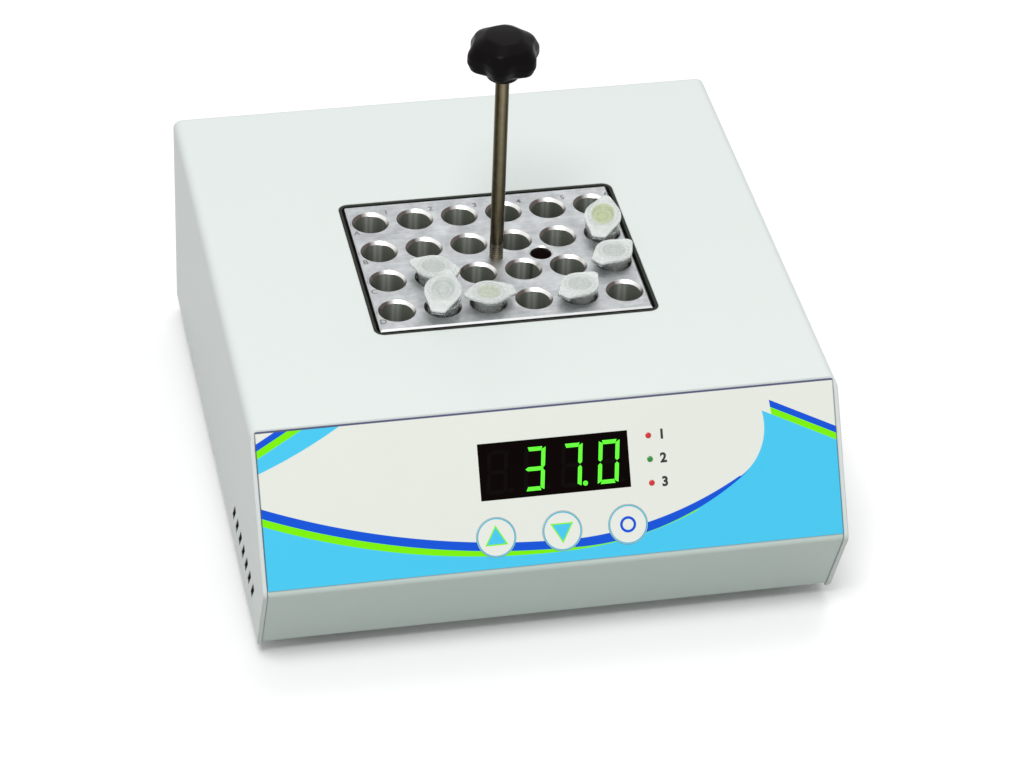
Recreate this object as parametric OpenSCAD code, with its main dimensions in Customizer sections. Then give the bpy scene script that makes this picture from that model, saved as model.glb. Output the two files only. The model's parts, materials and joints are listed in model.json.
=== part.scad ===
// Dry block heater for small sample tubes. A bent-steel housing with a sloped control panel
// holds a heated well. A drilled aluminium block stands in the well and lifts out by a rod
// that screws into its middle. Millimetres, origin at the centre of the footprint on the
// bench, +X to the right, +Y to the rear, +Z up.

/* [Housing] */
// Outside width of the cover
body_w = 200; // [200:1:230]
// Depth of the cover's flat top
top_d = 191.5; // [188:0.5:220]
// Height from the chassis floor's underside to the cover's top
body_h = 78; // [77:0.5:90]
// How far the front panel's foot stands out in front of the cover's top edge
nose = 29.5; // [26:0.5:34]
// Drop from the cover's top to the front panel's foot
nose_drop = 46.5; // [44:0.5:50]
// How far the lip runs back in under the panel
lip_back = 14.5; // [8:0.5:18]
// Thickness of the steel sheet
sheet = 1.5; // [1.2:0.1:1.6]
// Outside radius of the bends between the cover's top and sides
top_r = 3.2; // [2:0.1:5]
// Outside radius of the bend between the front panel and the lip
nose_r = 3.2; // [2:0.1:4]
// Width of the flanges that the cover turns in under the floor
skirt_flange = 14; // [12:0.5:18]
// Gap between the cover's sheet and the chassis sheet
seam_gap = 0.4; // [0.2:0.05:0.5]
// How far the back panel stands inside the cover's rear edge
rear_inset = 1; // [0.5:0.1:2]
// Height of the rubber feet
foot_h = 6; // [5.5:0.5:10]
// Diameter of the rubber feet
foot_d = 16; // [14:0.5:20]

/* [Vents] */
// Number of slanted slots in each side
vent_count = 7; // [3:1:9]
// Distance from slot to slot
vent_pitch = 7.15; // [6:0.05:9]
// Length of a slot
vent_len = 11; // [6:0.5:14]
// Width of a slot
vent_w = 2.6; // [1.5:0.1:3]
// Lean of a slot above the horizontal
vent_lean = 53; // [40:1:70]
// Height of the row of slots below the cover's top
vent_drop = 63.9; // [55:0.1:64]
// Place of the front slot behind the cover's top front edge
vent_front = -4.2; // [-6:0.1:10]

/* [Control panel] */
// Gap between the printed overlay and the cover's sides
overlay_gap = 0.2; // [0.1:0.05:2]
// Distance from the cover's front edge down to the overlay
overlay_top = 0.3; // [0.2:0.1:2]
// Height of the overlay along the slope
overlay_h = 52.9; // [50:0.1:53]
// Thickness of the overlay
overlay_t = 0.5; // [0.3:0.05:0.8]
// Width of the display window
window_w = 51; // [44:0.5:56]
// Height of the display window
window_h = 19; // [16:0.5:21]
// Place of the window's middle to the right of the panel's middle
window_x = 0.8; // [-6:0.1:6]
// Distance of the window's middle down the slope
window_s = 20.8; // [19:0.1:22]
// Diameter of the three keys
key_d = 13.4; // [11:0.1:14.5]
// Distance between the keys
key_pitch = 22.5; // [19:0.5:26]
// Place of the middle key to the right of the panel's middle
key_x = 1.8; // [-5:0.1:5]
// Distance of the keys' middles down the slope
key_s = 42.8; // [41:0.1:43.5]
// Travel of a key
key_travel = 0.4; // [0.2:0.05:0.5]
// Diameter of an indicator's lens in the overlay
led_d = 1.9; // [1.5:0.1:2.6]
// Distance between the indicators
led_pitch = 8; // [6:0.1:9]
// Place of the indicators to the right of the panel's middle
led_x = 33.5; // [32:0.1:38]
// Distance of the middle indicator down the slope
led_s = 21.7; // [18:0.1:24]

/* [Block] */
// Width of the heating block
block_w = 95.2; // [94:0.1:97]
// Depth of the heating block
block_d = 76.2; // [75:0.1:79]
// Height of the heating block
block_h = 50.8; // [46:0.1:51]
// How far the block stands above the cover's top
block_proud = 0.3; // [0:0.1:2]
// Distance of the block's middle before the cover's rear edge
block_back = 104.2; // [99.5:0.1:107.5]
// Gap round the block in the cover's opening
opening_gap = 2.2; // [1.5:0.1:3]
// Corner radius of the cover's opening
opening_r = 3.6; // [2:0.1:5]
// Wells across the block
well_cols = 6; // [2:1:6]
// Wells from back to front
well_rows = 4; // [2:1:4]
// Distance between the wells across
well_pitch_x = 16; // [15.2:0.1:16.2]
// Distance between the wells from back to front
well_pitch_y = 18.1; // [17:0.1:18.4]
// Diameter of a well
well_d = 11.2; // [11:0.05:11.6]
// Bevel at the mouth of a well
well_bevel = 1; // [0.5:0.1:1.2]
// Depth of a well's straight bore
well_straight = 20; // [18:0.5:24]
// Depth of a well in all
well_depth = 36; // [35.5:0.5:38]
// Diameter of a well's flat floor
well_floor_d = 4.8; // [4:0.1:6]
// Diameter of the thermometer bore
thermo_d = 7.5; // [6:0.1:8]
// Depth of the thermometer bore
thermo_depth = 40; // [20:1:42]

/* [Lifting rod] */
// Diameter of the rod
rod_d = 4.8; // [4:0.1:6]
// Height from the block's top to the knob's underside
rod_h = 74; // [60:0.5:100]
// Length of rod screwed into the block
rod_grip = 4.8; // [4:0.1:8]
// Pitch of the rod's thread
rod_thread = 0.8; // [0.5:0.05:1]
// Diameter of the knob over its lobes
knob_d = 26.2; // [22:0.1:32]
// Number of lobes on the knob
knob_lobes = 6; // [5:1:8]
// Depth of the hollows between the lobes
knob_hollow = 2.6; // [1:0.1:3]
// Height of the knob
knob_h = 17; // [15:0.5:20]

/* [Sample tubes] */
// Outside diameter of a tube
tube_d = 10.6; // [10.2:0.05:10.7]
// Wall of a tube
tube_wall = 0.9; // [0.7:0.05:1]
// How far a tube's rim stands above the block
tube_proud = 3.6; // [3:0.1:5]
// Length of a tube below the block's top
tube_below = 34.6; // [33:0.1:35]
// Diameter of a tube's collar and lid
lid_d = 13; // [12.4:0.1:14]
// Thickness of a lid
lid_t = 1.2; // [1:0.1:1.6]
// Distance from a tube's axis to its lid's fold
lid_fold = 9.2; // [8:0.1:9.4]
// Reach of a lid's thumb tab from the tube's axis
lid_tab = 9; // [8:0.1:9.2]

/* [Hidden] */
$fn = 48;

// How finely a bend's arc is stepped
bend_steps = 10;
// Overlap of a cutter past the face that it cuts
past = 1;

// Levels
z_floor = foot_h;
z_skirt = z_floor - sheet - 0.1;
z_top = z_floor + body_h;
floor_in = z_floor + sheet;
z_nose = z_top - nose_drop;

// Places from front to back, set so that the footprint's middle is at the origin
inlet_proud = 2.5;
lip_slope = lip_back / (z_nose - z_floor);
slope_dir = [-nose, -nose_drop] / norm([nose, nose_drop]);
lip_dir = [lip_slope, -1] / norm([lip_slope, 1]);
// The bend takes this much off the sharp corner of the nose
nose_turn = acos(slope_dir * lip_dir);
nose_trim = nose_r * (-slope_dir.x * tan(nose_turn / 2) - slope_dir.y - 1);
y_nose = -(nose + top_d + inlet_proud - rear_inset + nose_trim) / 2;
y_seam = y_nose + nose;
y_rear = y_seam + top_d;
y_back = y_rear - rear_inset;
y_block = y_rear - block_back;

// Bend radii of the chassis and the cover's skirt
fold_r = sheet + 0.2;
skirt_r = sheet + 0.8;
// Depth of the flanges that the chassis turns in under the cover's top
hem = 10;
// Height of the chassis's turned-up side flanges
side_hem = 8;
// Distance between the slots in the chassis floor
floor_slot_pitch = 8;
// Side clearance between the chassis and the cover
side_gap = 0.2;
chassis_w = body_w - 2 * (sheet + side_gap);
overlay_w = body_w - 2 * (sheet + overlay_gap);

// The front panel's frame: distance s runs down the slope, height h stands out of it
panel_tilt = atan2(nose_drop, nose);
face_inset = 0.35;
panel_face = -face_inset;
panel_back = panel_face - sheet;
overlay_face = panel_face + overlay_t;
board_gap = 9.5;
board_t = 1.6;
board_front = panel_back - board_gap;
board_s = 28;
board_h = 44;
board_w = 106;
board_x = 6;
spacer_d = 5.5;
screw_d = 2.8;
screw_hole = 3.1;
screw_past = 2;
window_flange = 2;
window_flange_t = 1;
key_gap = 0.12;
key_flange = 1;
key_x_at = [for (i = [-1:1]) key_x + i * key_pitch];
led_s_at = [for (i = [-1:1]) led_s + i * led_pitch];

// Heated well
z_block = z_top + block_proud - block_h;
block_top = z_top + block_proud;
liner_t = 1;
liner_play = 0.15;
liner_w = block_w + 2 * (opening_gap - liner_play - liner_t);
liner_d = block_d + 2 * (opening_gap - liner_play - liner_t);
liner_r = opening_r - liner_play - liner_t;
plate_t = 8;
mat_t = 2;
pad_t = 6;
wool_t = 8;
// Play round what passes through the wool
wool_play = 2;
liner_rim = z_top - 0.1;
liner_flange = z_top - sheet - 0.3;
liner_hem = 7;
z_plate = z_block - plate_t;
z_mat = z_plate - mat_t;
z_pad = z_mat - pad_t;
z_clamp = z_pad - sheet;
plate_w = liner_w + 2 * liner_t;
plate_d = liner_d + 2 * liner_t;
post_x = plate_w / 2 + 13;
post_y = plate_d / 2 + 11;
stud_x = block_w / 2 - 8;
stud_y = block_d / 2 - 8;
stud_d = 4;
cutout_d = 16;
probe_d = 4;
probe_len = 28;
probe_z = z_plate + plate_t / 2;
wool_gap = 0.2;

// Wells and tubes
well_x = [for (c = [0:well_cols - 1]) (c - (well_cols - 1) / 2) * well_pitch_x];
well_y = [for (r = [0:well_rows - 1]) ((well_rows - 1) / 2 - r) * well_pitch_y];
rod_bore_d = rod_d + 0.12;
tube_rim = block_top + tube_proud;
tube_bore = tube_d - 2 * tube_wall;
collar_t = 1;
plug_d = tube_bore - 0.5;
plug_h = 1.8;
strap_w = 4.6;
strap_t = 0.8;
tab_r = 1.9;
lid_lift = 0.1;
ajar = 20;

// Rear panel
inlet_x = 58;
inlet_z = 42;
inlet_w = 30;
inlet_h = 44;
socket_w = 24.4;
socket_h = 16.4;
socket_depth = 17;
socket_up = 9;
drawer_w = 20;
drawer_h = 9;
drawer_len = 27;
drawer_down = 12;
fuse_d = 5;
fuse_len = 20;
inlet_len = 28;
earth_x = inlet_x + 6;
earth_y = y_back - inlet_len - 8;
earth_top = floor_in + 14;
switch_x = 22;
switch_z = 51;
switch_len = 16;
switch_w = 21;
switch_h = 27;
rocker_w = 13;
rocker_h = 19;
rocker_back = 5;
rocker_tilt = 10;
rocker_pin_d = 3;

// Feet
foot_x = body_w / 2 - skirt_flange - foot_d / 2 - 3;
foot_y_front = y_nose + lip_back + foot_d / 2 + 8;
foot_y_rear = y_back - foot_d / 2 - 8;
foot_at = [for (x = [-foot_x, foot_x], y = [foot_y_front, foot_y_rear]) [x, y]];
skirt_screw_x = body_w / 2 - skirt_flange / 2 - 1;
skirt_screw_at = [for (x = [-skirt_screw_x, skirt_screw_x], y = [y_seam - 4, 10, y_back - 14]) [x, y]];

// ---- Bent-sheet outlines ----

function unit(v) = v / norm(v);
function left_of(v) = [-v.y, v.x];
function spun(v, a) = [v.x * cos(a) - v.y * sin(a), v.x * sin(a) + v.y * cos(a)];
function turn_of(a, b) = atan2(a.x * b.y - a.y * b.x, a.x * b.x + a.y * b.y);
function reversed(list) = [for (i = [len(list) - 1:-1:0]) list[i]];

// The arc that rounds corner p between directions d0 and d1, shifted to the left by s
function bend_arc(p, d0, d1, r, s) =
    let (a = turn_of(d0, d1), g = sign(a), start = p - d0 * r * tan(abs(a) / 2),
         centre = start + left_of(d0) * g * r)
    [for (k = [0:bend_steps]) centre - spun(left_of(d0) * g * (r - g * s), a * k / bend_steps)];

// One face of a strip bent along a path, at a distance s to the left of the path
function strip_face(path, radii, s) = [
    for (i = [0:len(path) - 1]) each
        i == 0 ? [path[0] + left_of(unit(path[1] - path[0])) * s] :
        i == len(path) - 1 ? [path[i] + left_of(unit(path[i] - path[i - 1])) * s] :
        bend_arc(path[i], unit(path[i] - path[i - 1]), unit(path[i + 1] - path[i]), radii[i - 1], s)
];

// A closed outline with its corners rounded; a radius of 0 leaves a corner sharp
function rounded(points, radii) = let (n = len(points)) [
    for (i = [0:n - 1]) each radii[i] == 0 ? [points[i]] :
        bend_arc(points[i], unit(points[i] - points[(i + n - 1) % n]),
                 unit(points[(i + 1) % n] - points[i]), radii[i], 0)
];

// Section of a sheet of thickness t that lies to the left of a bent path
module bent_strip(path, radii, t)
    polygon(concat(strip_face(path, radii, 0), reversed(strip_face(path, radii, t))));

// Runs a Y-Z outline across the width w, centred on x
module across(w, x = 0) translate([x - w / 2, 0, 0]) rotate([90, 0, 90]) linear_extrude(height = w) children();

// Runs an X-Z outline from y0 back to y1
module backwards(y0, y1) translate([0, y1, 0]) rotate([90, 0, 0]) linear_extrude(height = y1 - y0) children();

// Stands children in the front panel's frame, at x across and s down the slope
module on_panel(x = 0, s = 0)
    translate([0, y_seam, z_top]) rotate([panel_tilt, 0, 0]) translate([x, -s, 0]) children();

module rounded_rect(w, d, r) {
    square([w - 2 * r, d], center = true);
    square([w, d - 2 * r], center = true);
    for (x = [-1, 1], y = [-1, 1]) translate([x * (w / 2 - r), y * (d / 2 - r)]) circle(r = r);
}

// A plate between levels z0 and z1
module slab(w, d, z0, z1, r = 0) translate([0, 0, z0]) linear_extrude(height = z1 - z0)
    if (r > 0) rounded_rect(w, d, r); else square([w, d], center = true);

// A round bar between levels z0 and z1
module bar(d, z0, z1) translate([0, 0, z0]) cylinder(d = d, h = z1 - z0);

// ---- Housing ----

// Side view of the cover, anticlockwise from its top front edge
side_points = [
    [y_seam, z_top], [y_nose, z_nose], [y_nose + lip_slope * (z_nose - z_skirt), z_skirt],
    [y_rear, z_skirt], [y_rear, z_top]
];

module vent_slots(side) for (i = [0:vent_count - 1])
    translate([side * body_w / 2, y_seam + vent_front + i * vent_pitch, z_top - vent_drop])
        rotate([-vent_lean, 0, 0]) rotate([0, 90, 0]) linear_extrude(height = 6 * sheet, center = true)
            square([vent_w, vent_len], center = true);

module cover() color("whitesmoke") difference() {
    intersection() {
        backwards(y_nose - past, y_rear) bent_strip([
            [body_w / 2 - skirt_flange, z_skirt], [body_w / 2, z_skirt], [body_w / 2, z_top],
            [-body_w / 2, z_top], [-body_w / 2, z_skirt], [-body_w / 2 + skirt_flange, z_skirt]
        ], [skirt_r, top_r, top_r, skirt_r], sheet);
        across(body_w + 2 * past) polygon(rounded(side_points, [0, nose_r, 2, 1, 0]));
    }
    translate([0, y_block, 0]) slab(block_w + 2 * opening_gap, block_d + 2 * opening_gap,
        z_top - 2 * sheet, z_top + past, opening_r);
    for (side = [-1, 1]) vent_slots(side);
    for (p = skirt_screw_at) translate(p) bar(screw_hole + 0.3, z_skirt - past, z_floor - 0.1);
    // the top's front edge stands back behind the overlay's upper border
    on_panel() slab(body_w - 2 * (sheet + side_gap / 2), 2 * (top_r + sheet), panel_face - seam_gap / 2, past);
    // the flanges start behind the lip
    translate([-body_w / 2 + sheet, y_nose - past, z_skirt - past])
        cube([body_w - 2 * sheet, flange_start - y_nose + past, 2 * skirt_r + past]);
}

// The chassis's outer face follows the cover's side view, set in by face_inset
panel_in = left_of(slope_dir);
slope_in = panel_in * face_inset;
hem_z = z_top - sheet - seam_gap;
function on_slope_at(z) = side_points[0] + slope_in
    + slope_dir * (side_points[0].y + slope_in.y - z) / -slope_dir.y;
function corner_inset(p, d0, d1, inset) = p + (left_of(d0) + left_of(d1)) * inset / (1 + d0 * d1);
chassis_nose = corner_inset(side_points[1], slope_dir, lip_dir, face_inset);
chassis_toe = chassis_nose + lip_dir * (chassis_nose.y - z_floor) / -lip_dir.y;
flange_start = chassis_toe.x + 12;
chassis_path = [
    [y_seam + hem, hem_z], on_slope_at(hem_z), chassis_nose, chassis_toe,
    [y_back, z_floor], [y_back, hem_z], [y_back - hem, hem_z]
];

module chassis_floor_holes() {
    for (p = foot_at) translate(p) bar(screw_hole, z_floor - past, floor_in + past);
    for (p = skirt_screw_at) translate(p) bar(screw_hole, z_floor - past, floor_in + past);
    for (i = [-3:3], y = [ctrl_y, y_seam + 14]) translate([ctrl_x + i * floor_slot_pitch, y, 0])
        slab(3, 22, z_floor - past, floor_in + past, 1.4);
}

// Front view of the room inside the cover's bends
module cover_room() polygon(rounded([
    [-chassis_w / 2, z_floor], [chassis_w / 2, z_floor], [chassis_w / 2, hem_z], [-chassis_w / 2, hem_z]
], [skirt_r - sheet, skirt_r - sheet, top_r - sheet, top_r - sheet]));

module base_chassis() color("gainsboro") difference() {
    union() {
        intersection() {
            across(chassis_w)
                bent_strip(chassis_path, [fold_r, nose_r - face_inset, fold_r, fold_r, fold_r], sheet);
            backwards(y_nose - past, y_rear) cover_room();
        }
        for (side = [-1, 1])
            translate([side * (chassis_w - sheet) / 2 - sheet / 2, chassis_toe.x + 4, z_floor + sheet / 2])
                cube([sheet, y_back - chassis_toe.x - 8, side_hem]);
    }
    on_panel(window_x, window_s) slab(window_w + 0.3, window_h + 0.3, panel_back - past, past);
    for (x = key_x_at) on_panel(x, key_s) bar(key_d + 2 * key_gap, panel_back - past, past);
    for (s = led_s_at) on_panel(led_x, s) bar(3.3, panel_back - past, past);
    translate([inlet_x, y_back, inlet_z]) cube([inlet_w - 3, 6 * sheet, inlet_h - 3], center = true);
    translate([switch_x, y_back, switch_z]) cube([switch_w - 2, 6 * sheet, switch_h - 2], center = true);
    chassis_floor_holes();
}

foot_seat = 3;
module feet() color("dimgray") for (p = foot_at) translate(p) difference() {
    rotate_extrude() polygon(rounded(
        [[0, 0], [foot_d / 2 - 0.8, 0], [foot_d / 2, foot_h], [0, foot_h]], [0, 0.6, 0, 0]));
    bar(8, -past, foot_seat);
    bar(screw_hole, 0, foot_h + past);
}

// Pan-head screw standing up through level z, its head below
module screw_up(z, length, head_d = 5.6, head_t = 1.8) {
    bar(head_d, z - head_t, z);
    bar(screw_d, z - head_t / 2, z + length);
}

module foot_screws() color("silver") for (p = foot_at) translate(p)
    screw_up(foot_seat, floor_in + screw_past - foot_seat);
module cover_screws() color("silver") for (p = skirt_screw_at) translate(p)
    screw_up(z_skirt, floor_in + screw_past - z_skirt);

// ---- Control panel ----

module front_overlay() color("aliceblue") difference() {
    on_panel(0, overlay_top + overlay_h / 2) slab(overlay_w, overlay_h, panel_face, overlay_face, 0.5);
    on_panel(window_x, window_s) slab(window_w + 0.1, window_h + 0.1, panel_face - past, overlay_face + past);
    for (x = key_x_at) on_panel(x, key_s) bar(key_d + 2 * key_gap, panel_face - past, overlay_face + past);
    for (s = led_s_at) on_panel(led_x, s) bar(led_d + 0.1, panel_face - past, overlay_face + past);
}

module display_window() color("black", 0.8) on_panel(window_x, window_s) {
    slab(window_w, window_h, panel_back - window_flange_t / 2, overlay_face);
    slab(window_w + 2 * window_flange, window_h + 2 * window_flange, panel_back - window_flange_t, panel_back);
}

// Four seven-segment digits in one potted block, with its pins
module display_module() color("darkslategray") on_panel(window_x, window_s) {
    slab(window_w - 1, window_h - 0.4, board_front, panel_back - window_flange_t - 0.2);
}

spacer_at = [for (x = [-1, 1], y = [-1, 1]) [x * (board_w / 2 - 5), y * (board_h / 2 - 4)]];

module display_board() color("darkgreen") difference() {
    on_panel(board_x, board_s) slab(board_w, board_h, board_front - board_t, board_front);
    on_panel(board_x, board_s) for (p = spacer_at) translate(p)
        bar(screw_hole, board_front - 2 * board_t, board_front + past);
}

module display_spacers() color("goldenrod") on_panel(board_x, board_s) for (p = spacer_at) translate(p)
    difference() {
        bar(spacer_d, board_front, panel_back);
        bar(screw_hole, board_front - past, board_front + 6);
    }

module display_screws() color("silver") on_panel(board_x, board_s) for (p = spacer_at) translate(p)
    screw_up(board_front - board_t, board_t + 5);

switch_top = board_front + 4.5;
plunger_top = switch_top + 0.95;
module key_switches() color("slategray") for (x = key_x_at) on_panel(x, key_s) {
    slab(6, 6, board_front, switch_top);
    bar(3.5, switch_top - 0.5, plunger_top);
}

// A key: the printed cap, a flange that holds it behind the panel, and the stem to its switch
module key_cap(x) on_panel(x, key_s) {
    bar(key_d, panel_back - 0.1 - key_flange / 2, overlay_face + 0.05);
    bar(key_d + 2, panel_back - 0.1 - key_flange, panel_back - 0.1);
    bar(4, plunger_top + key_travel + 0.1, panel_back - key_flange);
}
module key_up() color("aliceblue") key_cap(key_x_at[0]);
module key_down() color("aliceblue") key_cap(key_x_at[1]);
module key_set() color("aliceblue") key_cap(key_x_at[2]);

// An indicator: a 3 mm lamp on the board with its lens in the overlay
module indicator(s) on_panel(led_x, s) {
    bar(3.8, board_front, board_front + 1);
    bar(3, board_front + 0.5, panel_face - 0.1);
    bar(led_d, panel_back, overlay_face);
}
module timer_led() color("red") indicator(led_s_at[0]);
module run_led() color("lime") indicator(led_s_at[1]);
module heat_led() color("red") indicator(led_s_at[2]);

// ---- Block and its well ----

// One well: bevelled mouth, straight bore and tapered end, with its mouth at level 0
module well_cut() rotate_extrude() polygon([
    [0, -well_depth], [well_floor_d / 2, -well_depth], [well_d / 2, -well_straight], [well_d / 2, -well_bevel],
    [well_d / 2 + well_bevel, 0], [well_d / 2 + well_bevel, past], [0, past]
]);

block_chamfer = 0.6;
module heating_block() color("lightgray") difference() {
    translate([0, y_block, 0]) slab(block_w, block_d, z_block, block_top);
    translate([0, y_block, block_top]) {
        for (side = [-1, 1]) {
            translate([side * block_w / 2, 0, 0]) rotate([0, 45, 0])
                cube([block_chamfer * sqrt(2), block_d + 2 * past, block_chamfer * sqrt(2)], center = true);
            translate([0, side * block_d / 2, 0]) rotate([45, 0, 0])
                cube([block_w + 2 * past, block_chamfer * sqrt(2), block_chamfer * sqrt(2)], center = true);
        }
        for (x = well_x, y = well_y) translate([x, y, 0]) well_cut();
        translate([well_pitch_x, 0, 0]) rotate_extrude() polygon([
            [0, -thermo_depth], [thermo_d / 2, -thermo_depth], [thermo_d / 2, -0.5],
            [thermo_d / 2 + 0.5, 0], [thermo_d / 2 + 0.5, past], [0, past]
        ]);
        bar(rod_bore_d, -rod_grip - 8, past);
    }
}

module lift_rod() color("tan") translate([0, y_block, block_top]) {
    bar(rod_d, -rod_grip, rod_h + knob_h - 6);
}

// Outline of the knob: a circle waved by its lobes, one of them near the front
front_lobe = 252;
knob_r = (knob_d - knob_hollow) / 2;
knob_outline = [for (a = [0:3:357])
    (knob_r + knob_hollow / 2 * cos(knob_lobes * (a - front_lobe))) * [cos(a), sin(a)]];
knob_profile = rounded([
    [0, 0], [6.2, 0], [6.8, 2.5], [knob_d / 2 + 0.4, 4.8], [knob_d / 2 + 0.4, knob_h - 5],
    [knob_d / 2 - 3.2, knob_h - 1.4], [0, knob_h]
], [0, 0.8, 2, 2, 3, 4, 0]);

module lift_knob() color("black") translate([0, y_block, block_top + rod_h]) difference() {
    intersection() {
        translate([0, 0, -past]) linear_extrude(height = knob_h + 2 * past) polygon(knob_outline);
        rotate_extrude() polygon(knob_profile);
    }
    bar(rod_d + 0.1, -past, knob_h - 5.8);
}

// Open box round the block. Its rim stands in the cover's opening and its flange lies under the cover
module well_liner() color("dimgray") translate([0, y_block, 0]) difference() {
    union() {
        slab(liner_w + 2 * liner_t, liner_d + 2 * liner_t, z_block, liner_rim, liner_r + liner_t);
        slab(liner_w + 2 * liner_hem, liner_d + 2 * liner_hem,
            liner_flange - liner_t, liner_flange, liner_r + liner_hem);
    }
    slab(liner_w, liner_d, z_block - past, liner_rim + past, liner_r);
}

stud_at = [for (x = [-stud_x, stud_x], y = [-stud_y, stud_y]) [x, y]];
module stud_holes(d, z0, z1) for (p = stud_at) translate(p) bar(d, z0, z1);

module heater_plate() color("silver") translate([0, y_block, 0]) difference() {
    slab(plate_w, plate_d, z_plate, z_block, liner_r + liner_t);
    stud_holes(stud_d + 0.2, z_plate - past, z_plate + 5.5);
    translate([0, -plate_d / 2 - past, probe_z]) rotate([-90, 0, 0])
        cylinder(d = probe_d + 0.2, h = probe_len + past);
}

module heater_mat() color("firebrick") translate([0, y_block, 0]) difference() {
    slab(block_w, block_d, z_mat, z_plate, 3);
    stud_holes(stud_d + 1, z_mat - past, z_plate + past);
    bar(cutout_d + 4, z_mat - past, z_plate + past);
}

module base_insulation() color("khaki") translate([0, y_block, 0]) difference() {
    slab(plate_w, plate_d, z_pad, z_mat, liner_r + liner_t);
    stud_holes(stud_d + 1, z_pad - past, z_mat + past);
    bar(cutout_d + 4, z_pad - past, z_mat + past);
}

module wall_insulation() color("khaki") translate([0, y_block, 0]) difference() {
    slab(plate_w + 2 * wool_t, plate_d + 2 * wool_t,
        z_pad, liner_flange - liner_t - wool_gap, liner_r + wool_t);
    slab(plate_w + 2 * wool_gap, plate_d + 2 * wool_gap,
        z_pad - past, liner_flange, liner_r + liner_t + wool_gap);
    translate([0, -plate_d / 2, probe_z]) rotate([90, 0, 0])
        cylinder(d = probe_d + wool_play, h = wool_t + past);
    for (x = lead_x_at) translate([x, plate_d / 2, lead_z]) rotate([-90, 0, 0])
        cylinder(d = lead_d + wool_play, h = wool_t + past);
}

post_at = [for (x = [-post_x, post_x], y = [-post_y, post_y]) [x, y]];

module clamp_plate() color("lightsteelblue") translate([0, y_block, 0]) difference() {
    slab(2 * post_x + 12, 2 * post_y + 12, z_clamp, z_pad, 4);
    stud_holes(stud_d + 0.4, z_clamp - past, z_pad + past);
    bar(cutout_d + 4, z_clamp - past, z_pad + past);
    for (p = post_at) translate(p) bar(screw_hole, z_clamp - past, z_pad + past);
}

// Studs that draw the heater plate, the mat and the pad down onto the clamp plate
nut_t = 3.2;
module plate_studs() color("silver") translate([0, y_block, 0]) for (p = stud_at) translate(p) {
    bar(stud_d, z_clamp - nut_t - 1.8, z_plate + 5);
    translate([0, 0, z_clamp - nut_t]) cylinder(d = 2 * stud_d, h = nut_t, $fn = 6);
}

module well_posts() color("goldenrod") translate([0, y_block, 0]) for (p = post_at) translate(p) difference() {
    bar(7, floor_in, z_clamp);
    bar(screw_hole, z_clamp - 6, z_clamp + past);
}

module well_screws() color("silver") translate([0, y_block, 0]) for (p = post_at) translate(p) {
    bar(5.6, z_pad, z_pad + 1.8);
    bar(screw_d, z_clamp - 5, z_pad + 1);
}

module temperature_probe() color("silver")
    translate([0, y_block - plate_d / 2 - 4, probe_z]) rotate([-90, 0, 0])
        cylinder(d = probe_d, h = probe_len + 3);

// Snap-disc thermostat pressed against the heater plate from below
module thermal_cutout() color("saddlebrown") translate([0, y_block, 0]) {
    bar(cutout_d, z_clamp + 0.5, z_plate);
    for (x = [-4, 4]) translate([x, 0, 0]) slab(0.8, 6, z_clamp - 5, z_clamp + 1);
}

// ---- Electrics behind the well ----

ctrl_w = 68;
ctrl_d = 36;
ctrl_x = 8;
ctrl_y = y_back - 25;
ctrl_z = floor_in + 8;
ctrl_front = ctrl_y - ctrl_d / 2;
terminal_x = ctrl_x + 28;
terminal_len = 20;
terminal_top = ctrl_z + board_t + 10;
header_top = ctrl_z + board_t + 5;
ctrl_hole_at = [for (x = [-1, 1], y = [-1, 1]) [ctrl_x + x * (ctrl_w / 2 - 4), ctrl_y + y * (ctrl_d / 2 - 4)]];

module control_board() color("darkgreen") {
    difference() {
        translate([ctrl_x, ctrl_y, 0]) slab(ctrl_w, ctrl_d, ctrl_z, ctrl_z + board_t, 1);
        for (p = ctrl_hole_at) translate(p) bar(screw_hole, ctrl_z - past, ctrl_z + board_t + past);
    }
    // relay, smoothing capacitor, processor and terminal block
    translate([ctrl_x + 8, ctrl_y + 6, 0]) slab(19, 15.5, ctrl_z + board_t / 2, ctrl_z + board_t + 15.5);
    translate([ctrl_x - 10, ctrl_y + 8, 0]) bar(10, ctrl_z + board_t / 2, ctrl_z + board_t + 16);
    translate([ctrl_x - 10, ctrl_y - 4, 0]) slab(14, 10, ctrl_z + board_t / 2, ctrl_z + board_t + 3);
    translate([terminal_x, ctrl_y, 0]) slab(9, terminal_len, ctrl_z + board_t / 2, terminal_top);
    translate([ribbon_x, ctrl_front + 5, 0]) slab(ribbon_w + 2, 6, ctrl_z + board_t / 2, header_top);
}

module board_spacers() color("goldenrod") for (p = ctrl_hole_at) translate(p) {
    bar(spacer_d, floor_in, ctrl_z);
    bar(screw_d, ctrl_z - 1, ctrl_z + board_t + 0.5);
    bar(5, ctrl_z + board_t, ctrl_z + board_t + 1.8);
}

// Finned heatsink that stands on the board behind the power switch element
sink_len = 21;
sink_fins = 5;
sink_h = 24;
fin_t = 1.6;
fin_pitch = (sink_len - fin_t) / (sink_fins - 1);
module triac_heatsink() color("black") translate([ctrl_x - 33, ctrl_y - sink_len / 2, ctrl_z + board_t]) {
    cube([3, sink_len, sink_h]);
    for (i = [0:sink_fins - 1]) translate([2.5, i * fin_pitch, 0]) cube([11, fin_t, sink_h]);
}

transformer_w = 40;
transformer_d = 34;
transformer_gap = 6;
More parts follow.
